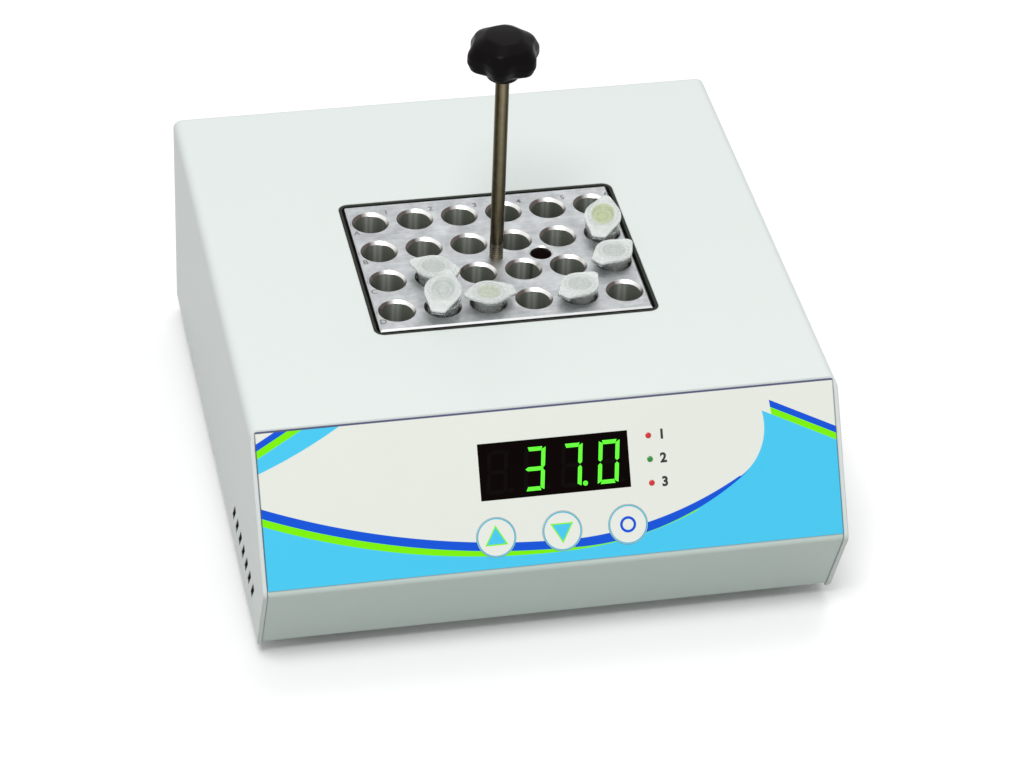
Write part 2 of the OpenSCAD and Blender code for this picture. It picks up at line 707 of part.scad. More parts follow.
// Laminated core in its bracket on four bosses, with the winding through its middle
module transformer() color("darkkhaki")
    translate([ctrl_x - (ctrl_w + transformer_w) / 2 - transformer_gap, ctrl_y, floor_in]) {
        for (x = [-1, 1], y = [-1, 1])
            translate([x * (transformer_w / 2 - 4), y * (transformer_d / 2 - 4), 0]) bar(7, 0, 3);
        slab(transformer_w, transformer_d, 2.5, 5, 2);
        slab(34, 20, 4.5, 32);
        slab(20, 32, 5.5, 28, 3);
    }

// ---- Rear panel ----

module power_inlet() color("black") translate([inlet_x, y_back, inlet_z]) difference() {
    union() {
        translate([-inlet_w / 2, 0, -inlet_h / 2]) cube([inlet_w, inlet_proud, inlet_h]);
        translate([-inlet_w / 2 + 1.6, -inlet_len, -inlet_h / 2 + 1.6])
            cube([inlet_w - 3.2, inlet_len + 1, inlet_h - 3.2]);
    }
    // socket, with its two cut lower corners
    translate([0, inlet_proud + past, socket_up]) rotate([90, 0, 0])
        linear_extrude(height = socket_depth + past) polygon([
            [-socket_w / 2, socket_h / 2], [-socket_w / 2, -socket_h / 2 + 4],
            [-socket_w / 2 + 5, -socket_h / 2], [socket_w / 2 - 5, -socket_h / 2],
            [socket_w / 2, -socket_h / 2 + 4], [socket_w / 2, socket_h / 2]
        ]);
    translate([-drawer_w / 2 - 0.2, -drawer_len + 1, -drawer_down - drawer_h / 2 - 0.2])
        cube([drawer_w + 0.4, drawer_len + inlet_proud, drawer_h + 0.4]);
}

// Three flat pins, set back from the socket's mouth, with their tags behind
module inlet_pins() color("gold") translate([inlet_x, y_back + inlet_proud - socket_depth, inlet_z + socket_up])
    for (p = [[-7, 2], [7, 2], [0, -2]]) translate([p.x - 1, 0, p.y - 2]) cube([2, 12, 4]);

module fuse_drawer() color("dimgray") translate([inlet_x, y_back, inlet_z - drawer_down]) difference() {
    translate([-drawer_w / 2, -drawer_len + 1.4, -drawer_h / 2])
        cube([drawer_w, drawer_len - 1.4 + inlet_proud, drawer_h]);
    translate([-fuse_d / 2 - 0.3, -drawer_len + 2.5, -fuse_d / 2 - 0.3])
        cube([fuse_d + 0.6, fuse_len + 0.6, drawer_h]);
    // finger notch in the drawer's face
    translate([-4, inlet_proud - 0.8, 1.8]) cube([8, past + 1, drawer_h]);
}

fuse_cap = 5.2;
module fuse() color("silver")
    translate([inlet_x, y_back - drawer_len + 2.8, inlet_z - drawer_down]) rotate([-90, 0, 0]) {
        for (z = [0, fuse_len - fuse_cap]) bar(fuse_d, z, z + fuse_cap);
        bar(fuse_d - 0.5, fuse_cap - 0.2, fuse_len - fuse_cap + 0.2);
    }

module switch_housing() color("black") translate([switch_x, y_back, switch_z]) difference() {
    union() {
        translate([-switch_w / 2, 0, -switch_h / 2]) cube([switch_w, 1.6, switch_h]);
        translate([-switch_w / 2 + 1.1, -switch_len, -switch_h / 2 + 1.1])
            cube([switch_w - 2.2, switch_len + 1, switch_h - 2.2]);
    }
    translate([-rocker_w / 2 - 0.2, -11, -rocker_h / 2 - 0.4]) cube([rocker_w + 0.4, 14, rocker_h + 0.8]);
    translate([-rocker_w / 2 - 2, -rocker_back, 0]) rotate([0, 90, 0])
        cylinder(d = rocker_pin_d + 0.16, h = rocker_w + 4);
}

// Rocker tilted to its pressed-in side, turning on two short trunnions
module power_rocker() color("black")
    translate([switch_x, y_back - rocker_back, switch_z]) rotate([rocker_tilt, 0, 0]) {
        across(rocker_w) intersection() {
            polygon([[0, -4], [6.5, -rocker_h / 2 + 0.6], [4.6, 0], [6.5, rocker_h / 2 - 0.6], [0, 4], [-2.6, 0]]);
            circle(d = rocker_h - 0.4);
        }
        translate([-rocker_w / 2 - 1.8, 0, 0]) rotate([0, 90, 0]) cylinder(d = rocker_pin_d, h = rocker_w + 3.6);
    }

module earth_stud() color("goldenrod") translate([earth_x, earth_y, 0]) {
    bar(4, floor_in, earth_top);
    translate([0, 0, floor_in + 3]) cylinder(d = 8, h = 3.2, $fn = 6);
}

// ---- Wiring ----

ribbon_w = 15;
ribbon_x = ctrl_x - 8;
ribbon_s = 40;
ribbon_t = 0.9;
ribbon_low = floor_in + 0.3;
lead_d = 1.8;
lead_x_at = [terminal_x - 2, terminal_x + 2];
lead_z = z_mat + mat_t / 2;
wire_d = 2.4;

// A point and its heading on the curve that leaves a along u and comes to b along v
function curve_at(a, u, b, v, t) = let (m = 1 - t)
    a * pow(m, 3) + (a + u) * 3 * m * m * t + (b - v) * 3 * m * t * t + b * pow(t, 3);
function curve_heading(a, u, b, v, t) = let (m = 1 - t)
    unit(u * m * m + (b - v - a - u) * 2 * m * t + v * t * t);

// A round wire along that curve, as rings of corners; aside is a direction that the curve never takes
module wire(a, u, b, v, d, aside = [1, 0, 0], steps = 12, sides = 8) {
    corners = [for (k = [0:sides - 1]) d / 2 * [cos(360 * k / sides), sin(360 * k / sides)]];
    rings = [for (i = [0:steps]) let (
        centre = curve_at(a, u, b, v, i / steps), ahead = curve_heading(a, u, b, v, i / steps),
        side = unit(cross(ahead, aside)), up = cross(side, ahead))
        for (c = corners) centre + side * c.x + up * c.y];
    polyhedron(rings, [
        [for (k = [sides - 1:-1:0]) k],
        for (i = [0:steps - 1], k = [0:sides - 1]) [i * sides + k, i * sides + (k + 1) % sides,
            (i + 1) * sides + (k + 1) % sides, (i + 1) * sides + k],
        [for (k = [0:sides - 1]) steps * sides + k]
    ]);
}

// Live to the switch, live and neutral to the terminal block, and earth to its stud
module mains_wires() color("saddlebrown") {
    wire([inlet_x - 6, y_back - inlet_len, inlet_z + 6], [0, -14, 0],
        [switch_x + 5, y_back - switch_len, switch_z + 5], [0, 14, 0], wire_d, [0, 0, 1]);
    wire([switch_x - 5, y_back - switch_len, switch_z - 5], [0, -16, 0],
        [terminal_x - 2, ctrl_y + 2, terminal_top], [0, 0, -16], wire_d, [1, -1, 0]);
    wire([inlet_x + 4, y_back - inlet_len, inlet_z - 6], [0, -16, 0],
        [terminal_x + 2, ctrl_y - 6, terminal_top], [0, 0, -18], wire_d, [1, 1, 0]);
    wire([inlet_x + 4, y_back - inlet_len, inlet_z - 14], [0, -8, 0],
        [earth_x, earth_y, earth_top], [0, 0, -9], wire_d);
}

// Two leads from the heater mat, out through the insulation to the terminal block
module heater_leads() color("red") for (x = lead_x_at)
    wire([x, y_block + block_d / 2, lead_z], [0, 14, 0],
        [x, ctrl_y - terminal_len / 2, terminal_top - 5], [0, 8, 0], lead_d);

// Flat cable from the back of the display board, under the well, to the header on the control board
ribbon_start = [y_seam, z_top] + slope_dir * ribbon_s + panel_in * (board_t - board_front);
ribbon_bend = ribbon_start + panel_in * 8;
ribbon_rise = ctrl_front - 1;
module display_ribbon() color("silver") across(ribbon_w, ribbon_x) bent_strip([
    ribbon_start, ribbon_bend, [ribbon_bend.x, ribbon_low],
    [ribbon_rise, ribbon_low], [ribbon_rise, header_top], [ribbon_rise + 8, header_top]
], [2, 2.5, 2, 1], ribbon_t);

// ---- Sample tubes ----

// A tube stands in the well of column c and row r, counted from 1 at the back left
function well_at(c, r) = [well_x[c - 1], y_block + well_y[r - 1], 0];

// A row of data for each tube: column, row, direction of its fold, and how far its lid is ajar
tube_b6_at = [6, 2, 249, ajar];
tube_c2_at = [2, 3, -30, 0];
tube_c6_at = [6, 3, 216, 0];
tube_d2_at = [2, 4, 248, ajar];
tube_d3_at = [3, 4, 5, 0];
tube_d5_at = [5, 4, 219, 0];

taper_end_r = well_floor_d / 2 - 0.1;
module tube(at) color("white", 0.6) translate(well_at(at[0], at[1])) {
    difference() {
        rotate_extrude() polygon(rounded([
            [0, block_top - tube_below], [taper_end_r, block_top - tube_below],
            [tube_d / 2, block_top - well_straight + 0.6], [tube_d / 2, tube_rim - collar_t],
            [lid_d / 2 - 0.4, tube_rim - collar_t], [lid_d / 2 - 0.4, tube_rim], [0, tube_rim]
        ], [0, 1, 0, 0, 0, 0, 0]));
        rotate_extrude() polygon([
            [0, block_top - tube_below + tube_wall],
            [taper_end_r - tube_wall, block_top - tube_below + tube_wall],
            [tube_bore / 2, block_top - well_straight + 0.6],
            [tube_bore / 2, tube_rim + past], [0, tube_rim + past]
        ]);
    }
    rotate([0, 0, at[2]]) translate([tube_d / 2, -strap_w / 2, tube_rim - 0.1 - strap_t])
        cube([lid_fold - 0.1 - tube_d / 2, strap_w, strap_t]);
}

module lid(at) color("white", 0.6) translate(well_at(at[0], at[1])) rotate([0, 0, at[2]])
    translate([lid_fold, 0, tube_rim]) rotate([0, at[3], 0]) translate([-lid_fold, 0, lid_lift]) {
        difference() {
            linear_extrude(height = lid_t) union() {
                circle(d = lid_d);
                hull() {
                    circle(d = lid_d - 1);
                    translate([-lid_tab + tab_r, 0]) circle(r = tab_r);
                    translate([lid_fold - 1, -strap_w / 2]) square([1, strap_w]);
                }
            }
            translate([0, 0, lid_t - 0.5]) cylinder(d1 = lid_d - 5, d2 = lid_d - 3.4, h = 0.5 + past / 2);
            translate([lid_d / 2 + 0.2, -strap_w, strap_t]) cube([4, 2 * strap_w, past]);
        }
        difference() {
            bar(plug_d, -plug_h, 0.2);
            bar(plug_d - 1.6, -plug_h - past, 0);
        }
    }

module tube_b6() tube(tube_b6_at);
module tube_c2() tube(tube_c2_at);
module tube_c6() tube(tube_c6_at);
module tube_d2() tube(tube_d2_at);
module tube_d3() tube(tube_d3_at);
module tube_d5() tube(tube_d5_at);
module lid_b6() lid(tube_b6_at);
module lid_c2() lid(tube_c2_at);
module lid_c6() lid(tube_c6_at);
module lid_d2() lid(tube_d2_at);
module lid_d3() lid(tube_d3_at);
module lid_d5() lid(tube_d5_at);

cover();
base_chassis();
front_overlay();
display_window();
display_module();
display_board();
display_spacers();
display_screws();
key_switches();
key_up();
key_down();
key_set();
timer_led();
run_led();
heat_led();
heating_block();
lift_rod();
lift_knob();
well_liner();
heater_plate();
heater_mat();
base_insulation();
wall_insulation();
clamp_plate();
plate_studs();
well_posts();
well_screws();
temperature_probe();
thermal_cutout();
control_board();
board_spacers();
triac_heatsink();
transformer();
power_inlet();
inlet_pins();
fuse_drawer();
fuse();
switch_housing();
power_rocker();
earth_stud();
mains_wires();
heater_leads();
display_ribbon();
feet();
foot_screws();
cover_screws();
tube_b6();
tube_c2();
tube_c6();
tube_d2();
tube_d3();
tube_d5();
lid_b6();
lid_c2();
lid_c6();
lid_d2();
lid_d3();
lid_d5();
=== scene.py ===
"""Dresses a dry block heater: painted steel housing, printed keypad, drilled block and sample tubes.

Every piece is worked out in the model's own frame, in metres: +X to the right, +Y to the rear, +Z up, with
the origin on the bench at the centre of the footprint. Each sub-assembly is a class that holds its sizes,
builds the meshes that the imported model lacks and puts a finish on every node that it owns.
"""
from __future__ import annotations

import json
import logging
import math
from dataclasses import dataclass, field
from enum import Enum
from functools import cached_property
from typing import Callable, ClassVar, Iterable, Sequence, Union

import bmesh
import bpy
import numpy as np
from mathutils import Matrix, Vector


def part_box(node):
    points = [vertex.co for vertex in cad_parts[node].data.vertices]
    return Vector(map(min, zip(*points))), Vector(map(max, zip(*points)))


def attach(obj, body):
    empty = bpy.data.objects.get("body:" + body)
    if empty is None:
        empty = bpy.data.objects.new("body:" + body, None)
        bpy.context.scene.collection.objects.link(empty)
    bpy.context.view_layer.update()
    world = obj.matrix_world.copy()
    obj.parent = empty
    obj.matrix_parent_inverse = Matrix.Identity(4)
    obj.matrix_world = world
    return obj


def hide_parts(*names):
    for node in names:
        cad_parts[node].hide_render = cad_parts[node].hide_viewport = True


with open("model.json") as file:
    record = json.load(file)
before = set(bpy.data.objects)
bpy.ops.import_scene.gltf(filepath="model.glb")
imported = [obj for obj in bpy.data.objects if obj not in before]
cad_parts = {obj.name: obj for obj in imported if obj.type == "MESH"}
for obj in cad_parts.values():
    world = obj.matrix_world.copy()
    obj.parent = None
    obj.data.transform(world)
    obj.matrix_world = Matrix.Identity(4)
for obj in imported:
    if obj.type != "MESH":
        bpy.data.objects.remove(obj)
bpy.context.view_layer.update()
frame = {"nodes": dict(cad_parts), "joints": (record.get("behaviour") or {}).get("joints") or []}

MM = 0.001
LOG = logging.getLogger("dry_block_heater")
X_AXIS, Y_AXIS, Z_AXIS = (1.0, 0.0, 0.0), (0.0, 1.0, 0.0), (0.0, 0.0, 1.0)
Triple = tuple[float, float, float]
Colour = tuple[float, float, float]
Ink = Union[Colour, bpy.types.NodeSocket]
Number = Union[float, "Field"]
Shape = tuple[np.ndarray, Sequence]


# ---- Shader maths ----


class Field:
    """A number that varies over a surface: an output socket of a shader node, with arithmetic."""

    def __init__(self, shading: Shading, socket: bpy.types.NodeSocket) -> None:
        """Keeps the tree that new nodes go into and the output that gives the number."""
        self.shading = shading
        self.socket = socket

    def maths(self, operation: str, *values: Number, clamp: bool = False) -> Field:
        """Adds one Math node.

        Args:
            operation: the node's operation, such as ADD.
            values: its inputs in order, as numbers or fields.
            clamp: whether the result is kept between 0 and 1.

        Returns:
            The node's result.
        """
        settings = {"operation": operation, "use_clamp": clamp}
        made = self.shading.node("ShaderNodeMath", settings, dict(enumerate(values)))
        return Field(self.shading, made.outputs[0])

    def __add__(self, other: Number) -> Field:
        """Sum."""
        return self.maths("ADD", self, other)

    __radd__ = __add__

    def __sub__(self, other: Number) -> Field:
        """Difference."""
        return self.maths("SUBTRACT", self, other)

    def __rsub__(self, other: Number) -> Field:
        """Difference with the field second."""
        return self.maths("SUBTRACT", other, self)

    def __mul__(self, other: Number) -> Field:
        """Product."""
        return self.maths("MULTIPLY", self, other)

    __rmul__ = __mul__

    def __truediv__(self, other: Number) -> Field:
        """Quotient."""
        return self.maths("DIVIDE", self, other)

    def __rtruediv__(self, other: Number) -> Field:
        """Quotient with the field second."""
        return self.maths("DIVIDE", other, self)

    def __neg__(self) -> Field:
        """Opposite."""
        return self.maths("MULTIPLY", self, -1.0)

    def __abs__(self) -> Field:
        """Size without its sign."""
        return self.maths("ABSOLUTE", self)

    def cosine(self) -> Field:
        """Cosine of an angle in radians."""
        return self.maths("COSINE", self)

    def reach(self, other: Field) -> Field:
        """Distance from the point where both are 0: sqrt(self^2 + other^2)."""
        return self.maths("SQRT", self * self + other * other)

    def most(self, other: Number) -> Field:
        """The larger of the two."""
        return self.maths("MAXIMUM", self, other)

    def wrap(self, pitch: float) -> Field:
        """Offset from the nearest odd half of the pitch, for a pattern that repeats at the pitch."""
        return self.maths("WRAP", self - pitch / 2.0, pitch / 2.0, -pitch / 2.0)

    def below(self, edge: Number = 0.0, blur: float = 0.07) -> Field:
        """A mask that is 1 under an edge and ramps to 0: 0.5 - (field - edge) / blur, within 0 and 1."""
        return self.maths("ADD", (self - edge) * (-1.0 / blur), 0.5, clamp=True)

    def above(self, edge: Number = 0.0, blur: float = 0.07) -> Field:
        """A mask that is 1 over an edge and ramps to 0: 0.5 + (field - edge) / blur, within 0 and 1."""
        return self.below(edge, -blur)

    def band(self, low: float, high: float, blur: float = 0.07) -> Field:
        """A mask that is 1 between two edges."""
        return self.above(low, blur) * self.below(high, blur)


class Shading:
    """The node tree of a material or a world, in the making."""

    def __init__(self, owner: bpy.types.Material | bpy.types.World) -> None:
        """Empties the owner's tree."""
        owner.use_nodes = True
        self.tree = owner.node_tree
        self.tree.nodes.clear()

    def plug(self, slot: bpy.types.NodeSocket, value: Number | Ink) -> None:
        """Feeds an input.

        Args:
            slot: the input.
            value: a field or a socket to link, or a number, a vector or a colour to set.
        """
        source = value.socket if isinstance(value, Field) else value
        if isinstance(source, bpy.types.NodeSocket):
            self.tree.links.new(source, slot)
        else:
            slot.default_value = (*source, 1.0) if slot.type == "RGBA" else source

    def node(self, kind: str, settings: dict | None = None, inputs: dict | None = None) -> bpy.types.Node:
        """Adds one node.

        Args:
            kind: the node's type.
            settings: attributes, set before the inputs.
            inputs: values, fields or sockets by input name or number.

        Returns:
            The node.
        """
        made = self.tree.nodes.new(kind)
        for key, value in (settings or {}).items():
            setattr(made, key, value)
        for key, value in (inputs or {}).items():
            self.plug(made.inputs[key], value)
        return made

    def seen(self) -> Field:
        """A mask of the rays that look at the surroundings: camera, glossy and transmission rays.

        Returns:
            1 for those rays, and 0 for the light that falls on the object.
        """
        paths = self.node("ShaderNodeLightPath").outputs
        camera, glossy, through = (
            Field(self, paths[f"Is {kind} Ray"]) for kind in ("Camera", "Glossy", "Transmission")
        )
        return camera.most(glossy).most(through)


@dataclass(frozen=True)
class Gloss:
    """The numbers of a finish that are the same all over a surface."""

    metallic: float = 0.0
    roughness: float = 0.5
    coat: float = 0.0
    coat_roughness: float = 0.1
    transmission: float = 0.0
    subsurface: float = 0.0
    subsurface_reach: Triple = (0.002, 0.002, 0.002)
    ior: float = 1.5
    specular: float = 0.5


class Finish(Shading):
    """A material in the making: one Principled shader and the nodes that feed it."""

    def __init__(self, name: str, gloss: Gloss) -> None:
        """Starts a material.

        Args:
            name: the material's name.
            gloss: its constant numbers, which are set on the shader's own sockets.
        """
        self.material = bpy.data.materials.new(name)
        super().__init__(self.material)
        self.shader = self.node("ShaderNodeBsdfPrincipled", inputs={
            "Metallic": gloss.metallic,
            "Roughness": gloss.roughness,
            "Coat Weight": gloss.coat,
            "Coat Roughness": gloss.coat_roughness,
            "Transmission Weight": gloss.transmission,
            "Subsurface Weight": gloss.subsurface,
            "Subsurface Radius": gloss.subsurface_reach,
            "IOR": gloss.ior,
            "Specular IOR Level": gloss.specular,
        })
        self.node("ShaderNodeOutputMaterial", inputs={"Surface": self.shader.outputs["BSDF"]})

    @cached_property
    def place(self) -> bpy.types.NodeSocket:
        """The point on the surface in the model's frame, in metres."""
        return self.node("ShaderNodeTexCoord").outputs["Object"]

    def along(self, direction: Sequence[float], origin: Sequence[float] = (0.0, 0.0, 0.0)) -> Field:
        """Distance in millimetres from an origin along a direction.

        Args:
            direction: a unit vector.
            origin: the point where the distance is 0, in metres.

        Returns:
            The field (place - origin) . direction / MM.
        """
        kind, scaled = "ShaderNodeVectorMath", tuple(c / MM for c in direction)
        offset = self.node(kind, {"operation": "SUBTRACT"}, {0: self.place, 1: tuple(origin)}).outputs[0]
        dot = self.node(kind, {"operation": "DOT_PRODUCT"}, {0: offset, 1: scaled})
        return Field(self, dot.outputs["Value"])

    def plan(self, centre: Sequence[float]) -> tuple[Field, Field]:
        """Distances in millimetres from an upright axis, along X and along Y."""
        return self.along(X_AXIS, centre), self.along(Y_AXIS, centre)

    def noise(self, grain: float, detail: float = 2.0, stretch: Triple = (1.0, 1.0, 1.0)) -> Field:
        """Fractal noise between 0 and 1.

        Args:
            grain: the size of its blotches, in millimetres.
            detail: how many finer layers it has.
            stretch: how far the pattern is drawn out along X, Y and Z.

        Returns:
            The noise.
        """
        scale = tuple(1.0 / (grain * MM * s) for s in stretch)
        mapped = self.node("ShaderNodeMapping", inputs={"Vector": self.place, "Scale": scale}).outputs[0]
        made = self.node("ShaderNodeTexNoise", inputs={"Vector": mapped, "Scale": 1.0, "Detail": detail})
        return Field(self, made.outputs[0])

    def mix(self, first: Ink, second: Ink, share: Number) -> bpy.types.NodeSocket:
        """Blends two colours: the first where the share is 0, the second where it is 1."""
        return self.node("ShaderNodeMix", {"data_type": "RGBA"}, {0: share, 6: first, 7: second}).outputs[2]

    def feed(self, socket: str, value: Number | Ink) -> None:
        """Sets or links one of the shader's inputs."""
        self.plug(self.shader.inputs[socket], value)

    def surface(
        self, colour: Ink, rough: Number, height: Field | None = None, depth: float = 0.0, edge: float = 0.0
    ) -> bpy.types.Material:
        """Gives the shader what varies over the surface.

        Args:
            colour: the base colour.
            rough: the roughness.
            height: a field that stands for relief, or None for a smooth surface.
            depth: the relief of a height of 1, in millimetres.
            edge: the radius that sharp edges seem to have, in millimetres.

        Returns:
            The finished material.
        """
        self.feed("Base Color", colour)
        self.feed("Roughness", rough)
        if height is not None:
            bump = self.node("ShaderNodeBump", inputs={"Distance": depth * MM, "Height": height})
            self.feed("Normal", bump.outputs[0])
            if edge > 0.0:
                soft = self.node("ShaderNodeBevel", {"samples": 4}, {"Radius": edge * MM})
                self.plug(bump.inputs["Normal"], soft.outputs[0])
        return self.material


def linear(red: int, green: int, blue: int) -> Colour:
    """A display colour of 0 to 255 as the linear light that shaders work in."""
    shares = (level / 255.0 for level in (red, green, blue))
    return tuple(c / 12.92 if c <= 0.04045 else ((c + 0.055) / 1.055) ** 2.4 for c in shares)


def toned(colour: Colour, share: float) -> Colour:
    """A colour made darker or lighter by a share, up to 1."""
    return tuple(min(1.0, share * c) for c in colour)


# ---- Finishes that are plain colours with grain ----


@dataclass(frozen=True)
class Plain:
    """A finish of one colour with blotches, a grain in its roughness and a fine relief."""

    name: str
    base: Colour
    gloss: Gloss
    blotch: float = 0.06
    blotch_grain: float = 14.0
    rough_swing: float = 0.08
    grain: float = 0.6
    depth: float = 0.01
    edge: float = 0.25
    stretch: Triple = (1.0, 1.0, 1.0)

    @cached_property
    def material(self) -> bpy.types.Material:
        """Builds the material the first time it is asked for.

        Returns:
            The material: blotches swing its colour, and a grain swings its roughness and gives it relief.
        """
        made = Finish(self.name, self.gloss)
        blotches = made.noise(self.blotch_grain, 3.0, self.stretch)
        fine = made.noise(self.grain, 2.0, self.stretch)
        colour = made.mix(toned(self.base, 1.0 - self.blotch), toned(self.base, 1.0 + self.blotch), blotches)
        rough = self.gloss.roughness + (fine - 0.5) * (2.0 * self.rough_swing)
        return made.surface(colour, rough, fine, self.depth, self.edge)


class Paint(Enum):
    """The plain finishes of the heater, by what they cover."""

    # painted shade: the cover's paint made darker and greener for the chassis, whose front lip faces down
    CHASSIS = Plain("chassis_paint", (0.67, 0.77, 0.715), Gloss(roughness=0.5),
                    0.015, 30.0, 0.03, 0.9, 0.014, 0.7)
    LINER = Plain("liner_aluminium", (0.030, 0.034, 0.027),
                  Gloss(metallic=0.35, roughness=0.55, specular=0.1), 0.3, 8.0, 0.06, 0.4)
    PLATE = Plain("plate_aluminium", (0.52, 0.53, 0.54), Gloss(metallic=1.0, roughness=0.42),
                  0.05, 8.0, 0.06, 0.4)
    ZINC = Plain("zinc_steel", (0.62, 0.63, 0.64), Gloss(metallic=1.0, roughness=0.32), 0.08, 3.0, 0.08, 0.4)
    BRASS = Plain("brass", (0.66, 0.46, 0.18), Gloss(metallic=1.0, roughness=0.3), 0.06, 3.0, 0.08, 0.4)
    BLACK_METAL = Plain("black_aluminium", (0.03, 0.03, 0.032), Gloss(metallic=0.6, roughness=0.45))
    CIRCUIT = Plain("circuit_board", (0.02, 0.16, 0.06), Gloss(roughness=0.3, coat=0.4), 0.25, 1.6, 0.1, 0.8)
    SILICONE = Plain("heater_silicone", (0.40, 0.10, 0.04), Gloss(roughness=0.7), 0.08, 4.0, 0.05, 1.2, 0.05)
    WOOL = Plain("insulation_wool", (0.66, 0.60, 0.40), Gloss(roughness=0.95), 0.2, 2.5, 0.03, 1.0, 0.25)
    BROWN = Plain("brown_plastic", (0.12, 0.05, 0.02), Gloss(roughness=0.35), 0.1, 2.0)
    VARNISH = Plain("transformer_iron", (0.20, 0.15, 0.06), Gloss(roughness=0.4, coat=0.3),
                    0.2, 1.5, 0.1, 0.7)
    BLACK = Plain("black_plastic", (0.022, 0.022, 0.024), Gloss(roughness=0.42),
                  0.08, 3.0, 0.08, 0.35, 0.01, 0.3)
    ROCKER = Plain("rocker_plastic", (0.015, 0.015, 0.016), Gloss(roughness=0.2, coat=0.3),
                   0.05, 4.0, 0.04, 0.5)
    RUBBER = Plain("foot_rubber", (0.035, 0.035, 0.036), Gloss(roughness=0.85),
                   0.12, 2.5, 0.05, 0.5, 0.03, 0.4)
    DARK = Plain("display_black", (0.01, 0.01, 0.011), Gloss(roughness=0.5, specular=0.15))
    MAINS_WIRE = Plain("mains_wire", (0.20, 0.09, 0.04), Gloss(roughness=0.45), 0.1, 3.0)
    HEATER_WIRE = Plain("heater_wire", (0.45, 0.05, 0.03), Gloss(roughness=0.5), 0.1, 3.0)
    RIBBON = Plain("ribbon_cable", (0.42, 0.42, 0.43), Gloss(roughness=0.5), 0.12, 1.3, 0.05, 0.5, 0.02, 0.2,
                   (1.0, 60.0, 60.0))
    FUSE = Plain("fuse_glass", (0.7, 0.74, 0.74), Gloss(roughness=0.12, metallic=0.3))
    ENGRAVED = Plain("engraved_mark", (0.16, 0.16, 0.165), Gloss(metallic=0.6, roughness=0.6), 0.2, 0.8)
    CAPTION = Plain("caption_ink", (0.012, 0.012, 0.014), Gloss(roughness=0.5), 0.05, 1.0)
    WHITE_MARK = Plain("white_mark", (0.75, 0.75, 0.74), Gloss(roughness=0.5), 0.04, 1.0)

    @property
    def material(self) -> bpy.types.Material:
        """The material of the finish."""
        return self.value.material


# ---- Meshes ----


def mesh_points(mesh: bpy.types.Mesh) -> np.ndarray:
    """Reads a mesh's points.

    Args:
        mesh: the mesh.

    Returns:
        An array of n by 3, in the mesh's own frame.
    """
    points = np.empty(len(mesh.vertices) * 3)
    mesh.vertices.foreach_get("co", points)
    return points.reshape(-1, 3)


def to_object(name: str, shape: Shape, smooth: float) -> bpy.types.Object:
    """Turns arrays into a closed mesh object at the origin.

    Args:
        name: the piece's name.
        shape: its points, in metres, and rows of corner numbers.
        smooth: the angle in degrees above which an edge stays sharp.

    Returns:
        The object, with its doubles merged and its faces pointing outwards.
    """
    points, faces = shape
    mesh = bpy.data.meshes.new(name)
    mesh.from_pydata(points.tolist(), [], [list(face) for face in faces])
    work = bmesh.new()
    work.from_mesh(mesh)
    bmesh.ops.remove_doubles(work, verts=work.verts, dist=1e-7)
    bmesh.ops.dissolve_degenerate(work, edges=work.edges, dist=1e-8)
    bmesh.ops.recalc_face_normals(work, faces=work.faces)
    work.to_mesh(mesh)
    work.free()
    mesh.polygons.foreach_set("use_smooth", np.ones(len(mesh.polygons), bool))
    mesh.set_sharp_from_angle(angle=math.radians(smooth))
    made = bpy.data.objects.new(name, mesh)
    bpy.context.scene.collection.objects.link(made)
    return made


def around(steps: int) -> np.ndarray:
    """Angles that go once round in even steps, in radians."""
    return np.linspace(0.0, 2.0 * np.pi, steps, endpoint=False)


def polar(radius: np.ndarray, turn: np.ndarray, height: np.ndarray) -> np.ndarray:
    """The points (r cos a, r sin a, z) of a grid, row by row."""
    return np.stack([radius * np.cos(turn), radius * np.sin(turn), height], -1).reshape(-1, 3)


def grid_faces(rows: int, columns: int, close_rows: bool = False) -> np.ndarray:
    """Corner numbers of the quads of a grid of points, stored row by row, whose last column joins the first.

    Args:
        rows: how many rows.
        columns: how many points go round a row.
        close_rows: whether the last row joins the first.

    Returns:
        An array of quads, four numbers each.
    """
    row, column = np.meshgrid(np.arange(rows if close_rows else rows - 1), np.arange(columns), indexing="ij")
    up, right = (row + 1) % rows, (column + 1) % columns
    corners = [(row, column), (row, right), (up, right), (up, column)]
    return np.stack([r * columns + c for r, c in corners], -1).reshape(-1, 4)


def revolve(profile: np.ndarray, steps: int, swell: Callable[..., np.ndarray] | None = None) -> Shape:
    """A closed surface round Z: point = (R cos a, R sin a, z) for each profile point (r, z) and angle a.

    Args:
        profile: rows of radius and height, from one end on the axis to the other.
        steps: how many angles go round.
        swell: gives R from r, a and z; without it R is r.

    Returns:
        The points, stored ring by ring, and the quads.
    """
    radius, turn = np.meshgrid(profile[:, 0], around(steps), indexing="ij")
    height = np.repeat(profile[:, 1:], steps, axis=1)
    if swell is not None:
        radius = swell(radius, turn, height)
    return polar(radius, turn, height), grid_faces(len(profile), steps)


